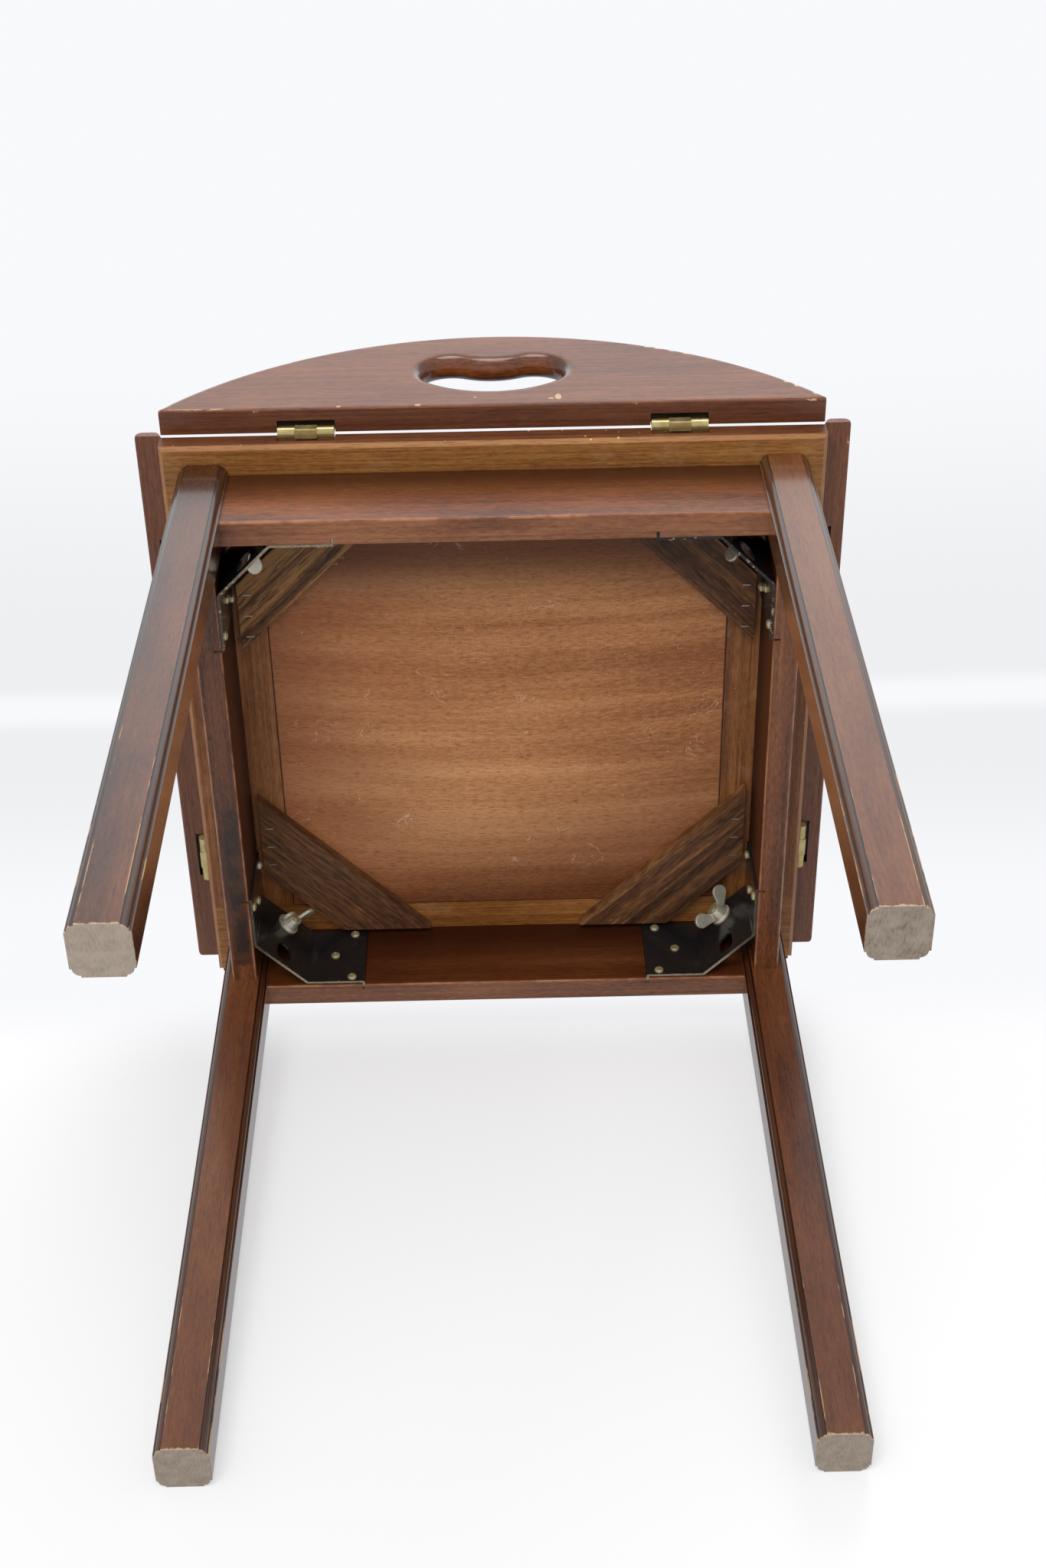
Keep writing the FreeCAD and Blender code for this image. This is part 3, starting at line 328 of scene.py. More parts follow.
def leg_material(name, seed, lift, end_lift):
    shader = Shader(name)
    tone, pores = grain(shader, None, seed, band=0.25, streak=0.22, cloud=0.75)
    tone = shader.plus(tone, lift)
    colour = shader.ramp(tone, LEG_MAHOGANY)
    colour = shader.blend(shader.times(pores, 0.35), colour, PORE)
    x, y, z = shader.axes()
    across = [shader.apart(shader.size(axis), LEG_MIDDLE) for axis in (x, y)]
    arrises = [shader.reach(shader.minus(across[0], first), shader.minus(across[1], second))
               for first, second in ((LEG_HALF, LEG_FLAT), (LEG_FLAT, LEG_HALF))]
    # The round and the quirk beside it are darkened: painted shade.
    quirk = shader.least(*[shader.apart(way, LEG_FLAT) for way in across])
    moulded = shader.span(shader.most(*across), LEG_HALF - 0.0002, LEG_HALF - 0.0008)
    colour = shader.blend(shader.times(moulded, 0.6), colour, MOULDING_SHADE)
    in_quirk = shader.times(shader.span(quirk, 0.0016, 0.0004), moulded)
    colour = shader.blend(shader.times(in_quirk, 0.9), colour, QUIRK_SHADE)
    # Worn arrises, more of them towards the foot.
    patchy = shader.noise(shader.move(shader.spot, (160, 160, 30), (seed, 0, 0)), detail=4, rough=0.6)
    low = shader.span(z, 0.25, 0.0, 0.0, 0.17)
    edge = shader.span(shader.least(*arrises), 0.0009, 0.0003)
    worn = shader.times(edge, shader.span(shader.plus(patchy, low), 0.64, 0.75, 0.0, 0.75))
    colour = shader.blend(worn, colour, LEG_WORN)
    # The foot: a rubbed rim and a grey sawn end.
    rubbed = shader.noise(shader.move(shader.spot, (300, 300, 300), (seed, 0, 0)), detail=3)
    rim = shader.span(shader.minus(z, shader.times(rubbed, 0.006)), -0.0012, -0.0024)
    colour = shader.blend(shader.times(rim, 0.8), colour, FOOT_RIM)
    sawn = shader.noise(shader.move(shader.spot, (900, 260, 1), (seed, seed, 0), turn=0.5), detail=4, rough=0.7)
    dirt = shader.noise(shader.spot, 130, 3)
    end_tone = shader.plus(shader.times(sawn, 0.6), shader.times(dirt, 0.5), end_lift)
    foot = shader.under(z, 2 * FACE)
    colour = shader.blend(foot, colour, shader.ramp(end_tone, SAWN_END))
    matt = shader.most(foot, shader.most(rim, worn))
    rough = shader.plus(wood_rough(shader, 0.3, tone), shader.times(matt, 0.4))
    height = shader.plus(wood_height(shader, tone, pores), shader.times(sawn, foot, 4.0))
    return wood_finish(shader, colour, rough, height, shader.rest(matt), 0.13)


def apron_material(name, side, seed, under_lift):
    quarters = SIDES.index(side)
    shader = Shader(name)
    tone, pores = grain(shader, QUARTER * (quarters % 2), seed, ribbon=0.1, streak=0.35, cloud=0.5)
    colour = shader.ramp(tone, DARK_MAHOGANY)
    colour = shader.blend(shader.times(pores, 0.5), colour, PORE)
    x, y, z = shader.axes(shader.move(shader.spot, turn=-QUARTER * quarters))
    # Painted shade under the tray's overhang, darker towards the top.
    colour = shader.blend(shader.span(z, 0.46, 0.5, 0.0, 0.85), colour, OVERHANG_SHADE)
    # The lower round is lighter, in patches.
    patchy = shader.span(shader.noise(shader.spot, 60, 3), 0.4, 0.62, 0.1, 0.75)
    rubbed = shader.times(shader.span(z, APRON_LOW + 0.0035, APRON_LOW + 0.0008), patchy)
    above = shader.over(z, APRON_LOW + FACE)
    colour = shader.blend(shader.times(rubbed, above), colour, APRON_ROUND_LIGHT)
    below = shader.rest(above)
    colour = shader.blend(shader.times(below, 0.9), colour, shader.ramp(shader.plus(tone, under_lift), APRON_UNDER))
    # A dark smudge lies on the left apron's underside, from its middle to near its back end.
    if side == "left":
        wander = shader.times(shader.noise(shader.spot, 40, 3), 0.06)
        middle = shader.size(shader.plus(y, APRON_INNER + 0.008))
        smudge = shader.times(
            shader.span(shader.plus(x, wander), 0.085, -0.03), shader.span(x, -0.171, -0.166),
            shader.span(middle, 0.0095, 0.0035, 0.1, 0.9),
            shader.span(shader.noise(shader.spot, 70, 4), 0.35, 0.6, 0.7, 1.0))
        colour = shader.blend(shader.times(smudge, below), colour, APRON_SMUDGE)
    # The inner face was left without polish; it is darkened with painted shade inside the frame.
    inner = shader.over(y, -APRON_INNER - 3 * FACE)
    colour = shader.blend(shader.times(inner, 0.7), colour, APRON_INNER_SHADE)
    rough = shader.plus(wood_rough(shader, 0.24, tone), shader.times(inner, 0.3))
    coat = shader.times(shader.rest(inner), 0.8)
    return wood_finish(shader, colour, rough, wood_height(shader, tone, pores), coat, 0.26, specular=0.35)


def leaf_material(name, side, seed, chips, edge_stain, knocked):
    quarters = SIDES.index(side)
    shader = Shader(name)
    tone, pores = grain(shader, QUARTER * (quarters % 2), seed, band=0.22, streak=0.75, cloud=0.4)
    colour = shader.ramp(tone, LEAF_MAHOGANY)
    colour = shader.blend(shader.times(pores, 0.5), colour, PORE)
    x, y, z = shader.axes(shader.move(shader.spot, turn=-QUARTER * quarters))
    depth = shader.times(y, -1.0)
    # The lower edge is darker than the faces, and its outer arris is chipped to pale wood.
    colour = shader.blend(shader.times(shader.under(z, LEAF_LOW + FACE), edge_stain), colour, LEAF_EDGE_STAIN)
    gap = shader.reach(shader.minus(z, LEAF_LOW), shader.minus(depth, LEAF_OUTER))
    patchy = shader.noise(shader.move(shader.spot, (45, 45, 420), (seed, 0, 0)), detail=5, rough=0.7)
    towards_end = shader.span(x, -0.17, -0.215, chips, 0.1 + chips)
    ragged = shader.plus(gap, shader.times(shader.noise(shader.spot, 900, 2), 0.0012))
    chipped = shader.times(shader.span(ragged, 0.0031, 0.0024),
                           shader.span(shader.plus(patchy, towards_end), 0.63, 0.68))
    colour = shader.blend(chipped, colour, LEAF_CHIP)
    # The recesses for the hinges are darkened: painted shade.
    beside = shader.apart(shader.size(x), HINGE_MIDDLE)
    recess = shader.times(shader.under(beside, RECESS_HALF), shader.under(depth, RECESS_FLOOR),
                          shader.under(z, LEAF_LOW + RECESS_HIGH), shader.over(z, LEAF_LOW + FACE))
    colour = shader.blend(shader.times(recess, 0.92), colour, RECESS_SHADE)
    # Small knocks on the faces.
    knocks = shader.specks(30, 0.075, 0.07, seed)
    ragged = shader.times(shader.noise(shader.spot, 1100, 2), 1.2)
    for place, rise, wide, high in knocked:
        one = shader.square(shader.calc("DIVIDE", shader.minus(x, place), wide))
        two = shader.square(shader.calc("DIVIDE", shader.minus(z, LEAF_LOW + rise), high))
        three = shader.span(depth, LEAF_OUTER - 0.0012, LEAF_OUTER - 0.0028, 0.0, 3.0)
        spread = shader.plus(shader.plus(one, two), shader.plus(three, ragged))
        knocks = shader.most(knocks, shader.span(spread, 1.5, 1.2))
    colour = shader.blend(shader.times(knocks, 0.8), colour, LEAF_KNOCK)
    # The hand hole is polished by use and redder; its darkening towards its inner side and its ends is painted shade.
    hole = shader.times(
        shader.span(depth, LEAF_OUTER - 0.00005, LEAF_OUTER - 0.0007),
        shader.span(depth, LEAF_INNER + 0.00005, LEAF_INNER + 0.0007),
        shader.under(shader.size(x), HAND_HALF_WIDTH),
        shader.under(shader.apart(z, HAND_RISE), HAND_HALF_HEIGHT))
    hole_stain_and_shade = shader.ramp(tone, HAND_STAIN)
    hole_stain_and_shade = shader.blend(shader.span(depth, LEAF_INNER + 0.0095, LEAF_INNER + 0.002, 0.0, 0.85), hole_stain_and_shade, HAND_INNER_SHADE)
    hole_stain_and_shade = shader.blend(shader.span(shader.size(x), 0.03, 0.058, 0.0, 0.7), hole_stain_and_shade, HAND_END_SHADE)
    colour = shader.blend(hole, colour, hole_stain_and_shade)
    rough = shader.minus(wood_rough(shader, 0.36, tone), shader.times(hole, 0.23))
    rough = shader.plus(rough, shader.times(chipped, 0.4))
    height = shader.minus(wood_height(shader, tone, pores), shader.times(chipped, 6.0))
    coat = shader.plus(0.45, shader.times(hole, 0.5))
    return wood_finish(shader, colour, rough, height, coat, 0.2)


def rail_material(name, along, seed, tint, painted):
    shader = Shader(name)
    tone, pores = grain(shader, along, seed, ribbon=0.25, streak=0.7, cloud=0.35)
    x, y, z = shader.axes()
    bare = shader.ramp(tone, [(place, tuple(c * t for c, t in zip(colour, tint))) for place, colour in RAIL_BARE])
    polished = shader.ramp(tone, RAIL_POLISHED)
    # The polish ends in a wavering line over the lower bevel, which is rubbed light.
    level = shader.minus(z, shader.times(shader.noise(shader.spot, 90, 3), 0.0022))
    colour = shader.blend(shader.span(level, TRAY_LOW + 0.0009, TRAY_LOW + 0.0028), bare, polished)
    bevel = shader.times(shader.span(z, TRAY_LOW + FACE, TRAY_LOW + 0.0006),
                         shader.span(z, TRAY_LOW + 0.0034, TRAY_LOW + 0.0026))
    colour = shader.blend(shader.times(bevel, 0.55), colour, RAIL_BEVEL)
    colour = shader.blend(shader.times(pores, 0.45), colour, RAIL_PORE)
    # Old smears on the bare underside, and dust.
    smear = shader.span(shader.noise(shader.spot, 26, 4, 0.6, 0.8), 0.56, 0.74)
    colour = shader.blend(shader.times(smear, shader.under(z, TRAY_LOW + FACE), 0.3), colour, RAIL_SMEAR)
    specks = shader.most(shader.specks(150, 0.1, 0.09, seed), shader.specks(320, 0.13, 0.05, seed + 2.0))
    colour = shader.blend(shader.times(specks, 0.7), colour, RAIL_DUST)
    if painted:
        on_edge = shader.under(y, 0.0012 - TRAY_HALF)
        splash = shader.span(shader.apart(x, 0.06), 0.045, 0.035)
        spots = shader.times(shader.specks(210, 0.24, 0.4, 3.3), shader.times(on_edge, splash))
        colour = shader.blend(shader.times(spots, 0.9), colour, PAINT_SPLASH)
    return wood_finish(shader, colour, wood_rough(shader, 0.42, tone), wood_height(shader, tone, pores), 0.12, 0.25)


def panel_material(name):
    shader = Shader(name)
    # The grain runs in a shallow bow across the panel.
    bow = shader.times(shader.square(shader.plus(shader.axes()[0], 0.008)), 0.33)
    space = wandering(shader, grain_space(shader, 0.0, 3.1), (1.6, 7, 7), 0.012, bow)
    tone = shader.layered(0.5, [
        (shader.streaks(space, (2.2, 13, 1)), 0.95),
        (shader.streaks(space, (1.6, 70, 1), 2.5, 0.55), 0.42),
        (shader.streaks(space, (9, 380, 1), 4, 0.65), 0.24),
        (shader.streaks(space, (170, 620, 1), 3, 0.6), 0.5),
        (shader.streaks(space, (700, 1000, 1)), 0.3),
    ])
    pores = shader.span(shader.streaks(space, (170, 1300, 1), 1, 0.4), 0.57, 0.7)
    x, y, z = shader.axes()
    under = shader.ramp(tone, PANEL_MAHOGANY)
    # Redder stain towards one end of the underside. Both ends are darker; at the front end this is painted shadow of
    # the front apron.
    cloudy = shader.times(shader.streaks(space, (9, 30, 1), 3), 0.16)
    under = shader.blend(shader.span(shader.plus(x, cloudy), 0.09, -0.09, 0.0, 0.6), under, PANEL_STAIN)
    skew = shader.plus(y, shader.times(x, 0.35))
    shaded_ends = shader.most(shader.span(y, -0.094, -0.148, 0.0, 0.95), shader.span(skew, 0.04, 0.19, 0.0, 0.9))
    under = shader.blend(shaded_ends, under, PANEL_END_SHADE, "MULTIPLY")
    upper = shader.over(z, TRAY_MIDDLE)
    colour = shader.blend(upper, under, shader.ramp(tone, PANEL_TOP))
    colour = shader.blend(shader.times(pores, 0.4), colour, PANEL_PORE)
    # Dust specks and faint scratches, which hardly show on the top.
    specks = shader.most(shader.specks(120, 0.09, 0.07, 1.3), shader.specks(260, 0.12, 0.04, 5.1))
    hair = shader.apart(shader.noise(shader.spot, 60, 2, 0.5, 1.2), 0.5)
    patches = shader.span(shader.noise(shader.spot, 34, 2), 0.6, 0.68)
    scratches = shader.times(shader.span(hair, 0.012, 0.004), patches)
    specks = shader.most(specks, shader.times(scratches, 0.8))
    specks = shader.times(specks, shader.span(upper, 0.0, 1.0, 0.55, 0.06))
    colour = shader.blend(specks, colour, PANEL_DUST)
    rim = shader.span(shader.most(shader.size(x), shader.size(y)), PANEL_HALF - 0.0009, PANEL_HALF)
    colour = shader.blend(shader.times(rim, 0.85), colour, PANEL_RIM)
    return wood_finish(shader, colour, wood_rough(shader, 0.44, tone), wood_height(shader, tone, pores), 0.12, 0.26,
                       specular=0.3)


def block_material(name, along, seed, stripe, lift):
    shader = Shader(name)
    space = wandering(shader, grain_space(shader, along, seed), (6, 25, 25), 0.008)
    tone = shader.layered(lift, [
        (shader.streaks(space, (2.5, 110, 20), 3.5, 0.65), stripe),
        (shader.streaks(space, (10, 420, 60), 3, 0.6), 0.5),
        (shader.streaks(space, (90, 420, 300), 3, 0.6), 0.5),
    ])
    pores = shader.span(shader.streaks(space, (70, 1100, 600), 1, 0.4), 0.55, 0.68)
    colour = shader.ramp(tone, BLOCK_WOOD)
    colour = shader.blend(shader.times(pores, 0.6), colour, BLOCK_PORE)
    colour = shader.blend(shader.times(shader.specks(170, 0.14, 0.05, seed), 0.5), colour, BLOCK_RUBBED)
    return wood_finish(shader, colour, wood_rough(shader, 0.55, tone), wood_height(shader, tone, pores), 0.05, 0.3,
                       2 * PORE_DEPTH, 0.35)


def black_paint_material():
    shader = Shader("black_paint")
    x, y, z = shader.axes()
    orange_peel = shader.noise(shader.spot, 420, 2)
    sag = shader.noise(shader.spot, 60, 2)
    # The lower edge is rubbed bare beside the front and back aprons, but not at the front right corner.
    beside = shader.minus(shader.size(y), shader.size(x))
    kept = shader.times(shader.over(x, 0.0), shader.under(y, 0.0))
    worn = shader.times(shader.span(beside, -0.03, 0.03, 0.2, 1.0), shader.rest(kept))
    worn_edge = shader.times(shader.under(z, BRACKET_LOW + 2 * FACE), worn)
    chips = shader.times(shader.span(z, BRACKET_LOW + 0.0009, BRACKET_LOW + 0.0003),
                         shader.span(shader.noise(shader.spot, 300, 3), 0.58, 0.66))
    steel = shader.ramp(shader.noise(shader.spot, 700, 3), BARE_STEEL)
    bare = shader.most(shader.times(worn_edge, 0.9), chips)
    colour = shader.blend(shader.noise(shader.spot, 90, 3), BLACK_DARK, BLACK_LIGHT)
    colour = shader.blend(shader.times(shader.specks(240, 0.12, 0.02, 2.2), 0.5), colour, BLACK_FLECK)
    colour = shader.blend(bare, colour, steel)
    height = shader.plus(shader.times(orange_peel, 0.35), sag)
    return shader.finish(Base_Color=colour, Metallic=bare, Roughness=shader.span(sag, 0.3, 0.7, 0.16, 0.28),
                         Normal=shader.bump(height, 0.0003, 0.3), Coat_Weight=0.25, Coat_Roughness=0.12,
                         IOR=POLISH_IOR)


def metal_material(name, dark, light, roughness, tarnish, share=0.4, metallic=1.0):
    shader = Shader(name)
    brushed = shader.noise(shader.move(shader.spot, (1, 1, 0.25)), 900, 3, 0.6)
    clouds = shader.noise(shader.spot, 160, 3)
    colour = shader.ramp(clouds, [(0.3, dark), (0.7, light)])
    stained = shader.span(shader.noise(shader.spot, 320, 4, 0.65), 0.5, 0.68)
    colour = shader.blend(shader.times(stained, share), colour, tarnish)
    rough = shader.plus(roughness, shader.swing(clouds, 0.25))
    return shader.finish(Base_Color=colour, Metallic=metallic, Roughness=rough,
                         Normal=shader.bump(brushed, 0.00004, 0.35))


def dress(node, material):
    mesh = NODES[node].data
    mesh.materials.clear()
    mesh.materials.append(material)


# Each leg's tone and that of its sawn end, and each corner block's stripes and tone, in the order of the corners.
LEG_LIFTS = [(-0.13, 0.14), (0.15, 0.0), (0.07, 0.11), (0.09, 0.09)]
BLOCK_LOOKS = [(1.9, 0.77), (0.7, 0.51), (0.9, 0.53), (0.25, 0.515)]
# Each apron's tone below, each leaf's chips and edge stain and each rail's tint, in the order of the sides.
APRON_LIFTS = [0.08, -0.05, -0.05, -0.06]
LEAF_LOOKS = [(0.0, 0.48), (-0.08, 0.15), (-0.05, 0.4), (-0.1, 0.32)]
RAIL_TINTS = [(1.0, 1.0, 1.0), (0.9, 0.78, 0.9), (1.0, 0.92, 0.9), (0.95, 0.82, 0.95)]
# Knocks on the front leaf: place along it, rise over its lower edge, half width, half height.
# The last seven lie along its arched edge.
FRONT_KNOCKS = [(-0.0515, 0.002, 0.0026, 0.0014), (0.0455, 0.011, 0.0026, 0.005), (-0.106, 0.002, 0.0018, 0.0012),
                (0.0405, 0.0085, 0.0024, 0.0012), (-0.19, 0.0016, 0.006, 0.0007), (-0.012, 0.0125, 0.0012, 0.0009),
                (0.113, 0.0938, 0.0035, 0.0022), (0.121, 0.0902, 0.004, 0.002), (0.13, 0.0858, 0.003, 0.002),
                (0.14, 0.0804, 0.0035, 0.002), (0.206, 0.0288, 0.0028, 0.0026), (0.2125, 0.0217, 0.003, 0.0026),
                (0.2235, 0.0082, 0.0026, 0.0022)]

# Materials on the solids.
BLACK = black_paint_material()
BRASS = metal_material("hinge_brass", (0.6, 0.46, 0.17), (0.86, 0.72, 0.36), 0.26, (0.3, 0.2, 0.06), 0.2, 0.75)
NICKEL = metal_material("nut_nickel", (0.8, 0.73, 0.56), (0.96, 0.91, 0.76), 0.27, (0.58, 0.49, 0.33), metallic=0.72)
YELLOW = metal_material("screw_yellow_zinc", (0.55, 0.45, 0.24), (0.84, 0.74, 0.48), 0.26, (0.3, 0.22, 0.1),
                        metallic=0.75)
STEEL = metal_material("staple_steel", (0.42, 0.39, 0.34), (0.66, 0.62, 0.55), 0.35, (0.25, 0.17, 0.1))
for number, corner in enumerate(CORNERS):
    diagonal = -QUARTER / 2 if number % 2 == 0 else QUARTER / 2
    dress(f"leg_{corner}", leg_material(f"leg_wood_{corner}", 1.7 + 2.3 * number, *LEG_LIFTS[number]))
    dress(f"corner_block_{corner}",
          block_material(f"block_wood_{corner}", diagonal, 4.1 + 1.9 * number, *BLOCK_LOOKS[number]))
    dress(f"corner_bracket_{corner}", BLACK)
    dress(f"wing_nut_{corner}", NICKEL)
for number, side in enumerate(SIDES):
    dress(f"apron_{side}", apron_material(f"apron_wood_{side}", side, 2.9 + 3.3 * number, APRON_LIFTS[number]))
    dress(f"leaf_{side}", leaf_material(f"leaf_wood_{side}", side, 1.1 + 2.7 * number, *LEAF_LOOKS[number],
                                        FRONT_KNOCKS if side == "front" else []))
    dress(f"tray_rail_{side}", rail_material(f"rail_wood_{side}", QUARTER * (number % 2), 0.6 + 3.7 * number,
                                             RAIL_TINTS[number], side == "front"))
    dress(f"hinge_pins_{side}", BRASS)
    for hinge in (1, 2):
        dress(f"tray_hinge_plate_{side}_{hinge}", BRASS)
        dress(f"leaf_hinge_plate_{side}_{hinge}", BRASS)
dress("tray_panel", panel_material("panel_wood"))
dress("block_staples", STEEL)


# Fasteners with their recesses and threads.
def placed(name, data):
    item = bpy.data.objects.new(name, data)
    bpy.context.scene.collection.objects.link(item)
    return item


def mesh_object(name, mesh, body, slot, *replaced):
    item = placed(name, mesh)
    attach(item, body)
    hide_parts(*replaced)


def mesh_of(name, form):
    mesh = bpy.data.meshes.new(name)
    form.to_mesh(mesh)
    form.free()
    return mesh


def evaluated_mesh(item):
    return bpy.data.meshes.new_from_object(item.evaluated_get(bpy.context.evaluated_depsgraph_get()))


def skin(form, rings, around):
    """Faces between the rings, where a ring is one point or goes once around."""
    for lower, upper in zip(rings, rings[1:]):
        for step in range(around):
            following = (step + 1) % around
            corners = [lower[step % len(lower)], lower[following % len(lower)],
                       upper[following % len(upper)], upper[step % len(upper)]]
            form.faces.new(list(dict.fromkeys(corners)))


def lathe(profile, around):
    """A closed turned form about Z from (radius, height) points, its first and last on the axis."""
    form = bmesh.new()
    angles = [2 * math.pi * step / around for step in range(around)]
    rings = []
    for radius, height in profile:
        if radius == 0:
            rings.append([form.verts.new((0, 0, height))])
        else:
            rings.append([form.verts.new((radius * math.cos(a), radius * math.sin(a), height)) for a in angles])
    skin(form, rings, around)
    bmesh.ops.recalc_face_normals(form, faces=form.faces)
    return form


def prism(outline, low, high, narrow):
    """A tapered prism: outline at high, and narrow times as large at low."""
    form = bmesh.new()
    top = [form.verts.new((x, y, high)) for x, y in outline]
    base = [form.verts.new((x * narrow, y * narrow, low)) for x, y in outline]
    form.faces.new(top)
    form.faces.new(base[::-1])
    skin(form, [base, top], len(outline))
    bmesh.ops.recalc_face_normals(form, faces=form.faces)
    return form


def carved(name, form, cutter):
    """The form with the cutter taken out of it, as a mesh."""
    items = [placed(label, mesh_of(label, source)) for label, source in ((name, form), (f"{name}_cutter", cutter))]
    taken = items[0].modifiers.new("recess", "BOOLEAN")
    taken.operation = "DIFFERENCE"
    taken.solver = "EXACT"
    taken.object = items[1]
    result = evaluated_mesh(items[0])
    for item in items:
        bpy.data.objects.remove(item)
    return result


def gathered(name, source, places, material, smooth_angle=35):
    """One mesh of copies of the source at the places."""
    form = bmesh.new()
    for place in places:
        before = len(form.verts)
        form.from_mesh(source)
        form.verts.ensure_lookup_table()
        bmesh.ops.transform(form, matrix=place, verts=form.verts[before:])
    mesh = mesh_of(name, form)
    mesh.shade_smooth()
    mesh.set_sharp_from_angle(angle=math.radians(smooth_angle))
    mesh.materials.append(material)
    return mesh


def metres(points):
    return [(first * MM, second * MM) for first, second in points]


def cross_outline(w, r):
    """A cross with arms of half width w that reach to r."""
    return [(r, -w), (r, w), (w, w), (w, r), (-w, r), (-w, w), (-r, w), (-r, -w), (-w, -w), (-w, -r), (w, -r), (w, -w)]


def slot_outline(w, r):
    return [(r, -w), (r, w), (-r, w), (-r, -w)]


def quarter_turn(number):
    return Matrix.Rotation(QUARTER * number, 4, "Z")


def facing(direction, spin):
    """A turn that points Z along the direction, after a spin about it."""
    return Vector(direction).to_track_quat("Z", "Y").to_matrix().to_4x4() @ Matrix.Rotation(spin, 4, "Z")


# Screws, in millimetres: radius and height along each, then its recess.
PAN_PROFILE = [(0, -14), (1.75, -12.25), (1.75, 0), (3.5, 0), (3.5, 0.8), (3.3, 1.3), (2.85, 1.75), (2.1, 2.05),
               (1.1, 2.19), (0, 2.2)]
CROSS = cross_outline(0.55, 1.9)
CROSS_LOW, CROSS_HIGH, CROSS_TAPER = 0.7, 2.6, 0.45
SUNK_PROFILE = [(0, -12), (1.75, -10.25), (1.75, -2), (3.5, 0), (0, 0)]
SLOT = slot_outline(0.5, 4.5)
SLOT_LOW, SLOT_HIGH = -0.9, 0.6
SCREW_AROUND = 28
# Places, in metres: bracket screws by place along the apron and rise, hinge screws by side and distance inwards.
PAN_SPOTS = [(0.118, 0.499), (0.132, 0.473), (0.118, 0.447)]
SUNK_SPOTS = [(-0.013, 0.009), (0.013, 0.009), (0, 0.022)]
# Screws stop at different turns of their recesses.
SPIN_STEP = 0.83
LEAF_SPIN = 1.3

pan_recess = prism(metres(CROSS), CROSS_LOW * MM, CROSS_HIGH * MM, CROSS_TAPER)
pan_screw = carved("pan_screw", lathe(metres(PAN_PROFILE), SCREW_AROUND), pan_recess)
sunk_recess = prism(metres(SLOT), SLOT_LOW * MM, SLOT_HIGH * MM, 1.0)
sunk_screw = carved("sunk_screw", lathe(metres(SUNK_PROFILE), SCREW_AROUND), sunk_recess)

pan_places = []
for number in range(len(CORNERS)):
    for step, (along, rise) in enumerate(PAN_SPOTS):
        flanges = (((-along, -BRACKET_FACE, rise), (0, 1, 0)), ((-BRACKET_FACE, -along, rise), (1, 0, 0)))
        for turn, (spot, way) in enumerate(flanges):
            spin = SPIN_STEP * (number * 6 + step * 2 + turn)
            pan_places.append(quarter_turn(number) @ Matrix.Translation(spot) @ facing(way, spin))
mesh_object("bracket_screw_set", gathered("bracket_screw_set", pan_screw, pan_places, YELLOW), "stand",
            "yellow_screw", "bracket_screws")

sunk_spots = [(hinge + side, inward) for hinge in (-HINGE_MIDDLE, HINGE_MIDDLE) for side, inward in SUNK_SPOTS]
tray_places = []
for number, side in enumerate(SIDES):
    leaf_places = []
    for step, (across, inward) in enumerate(sunk_spots):
        spin = SPIN_STEP * (number * 7 + step)
        flat = Matrix.Translation((across, -(TRAY_HALF - inward), TRAY_TOP))
        upright = Matrix.Translation((across, -LEAF_INNER, LEAF_LOW + inward))
        tray_places.append(quarter_turn(number) @ flat @ facing((0, 0, 1), spin))
        leaf_places.append(quarter_turn(number) @ upright @ facing((0, 1, 0), spin * LEAF_SPIN))
    name = f"leaf_hinge_screw_set_{side}"
    mesh_object(name, gathered(name, sunk_screw, leaf_places, BRASS), f"leaf_{side}_body", "brass",
                f"leaf_hinge_screws_{side}")
mesh_object("tray_hinge_screw_set", gathered("tray_hinge_screw_set", sunk_screw, tray_places, BRASS), "tray",
            "brass", "tray_hinge_screws")

# Hanger bolts: BOLT_END is how far a bolt's outer end lies from the table's middle.
BOLT_END = 0.2962817
BOLT_LENGTH = 0.0679512
BOLT_RADIUS = 0.004
BOLT_RISE = 0.49
BOLT_CHAMFER = 0.001
BOLT_TIP = 0.75
BOLT_AROUND = 20
BOLT_SMOOTH = 25
THREAD_PITCH = 0.00125
THREAD_DEPTH = 0.00062
THREAD_START = 0.026
THREAD_SLOPE = 2.6
THREAD_RINGS = 8


def threaded_rod():
    step = THREAD_PITCH / THREAD_RINGS
    form = bmesh.new()
    heights = [0.0, BOLT_CHAMFER, THREAD_START]
    while heights[-1] + step < BOLT_LENGTH:
        heights.append(heights[-1] + step)
    heights.append(BOLT_LENGTH)
    rings = []
    for height in heights:
        ring = []
        from_end = min(height, BOLT_LENGTH - height)
        taper = min(1.0, from_end / BOLT_CHAMFER * (1 - BOLT_TIP) + BOLT_TIP)
        for turn in range(BOLT_AROUND):
            share = (height / THREAD_PITCH - turn / BOLT_AROUND) % 1.0
            groove = max(0.0, 1 - abs(share - 0.5) * THREAD_SLOPE) if height > THREAD_START else 0.0
            radius = BOLT_RADIUS * taper - THREAD_DEPTH * groove
            angle = 2 * math.pi * turn / BOLT_AROUND
            ring.append(form.verts.new((radius * math.cos(angle), radius * math.sin(angle), height)))
        rings.append(ring)
    skin(form, rings, BOLT_AROUND)
    form.faces.new(rings[0][::-1])
    form.faces.new(rings[-1])
    return mesh_of("threaded_rod", form)


bolt_side = BOLT_END * math.sqrt(0.5)
bolt_seat = Matrix.Translation((-bolt_side, -bolt_side, BOLT_RISE)) @ facing((1, 1, 0), 0)
bolt_places = [quarter_turn(number) @ bolt_seat for number in range(len(CORNERS))]
mesh_object("hanger_bolt_set", gathered("hanger_bolt_set", threaded_rod(), bolt_places, YELLOW, BOLT_SMOOTH),
            "stand", "plated_steel", "hanger_bolts")

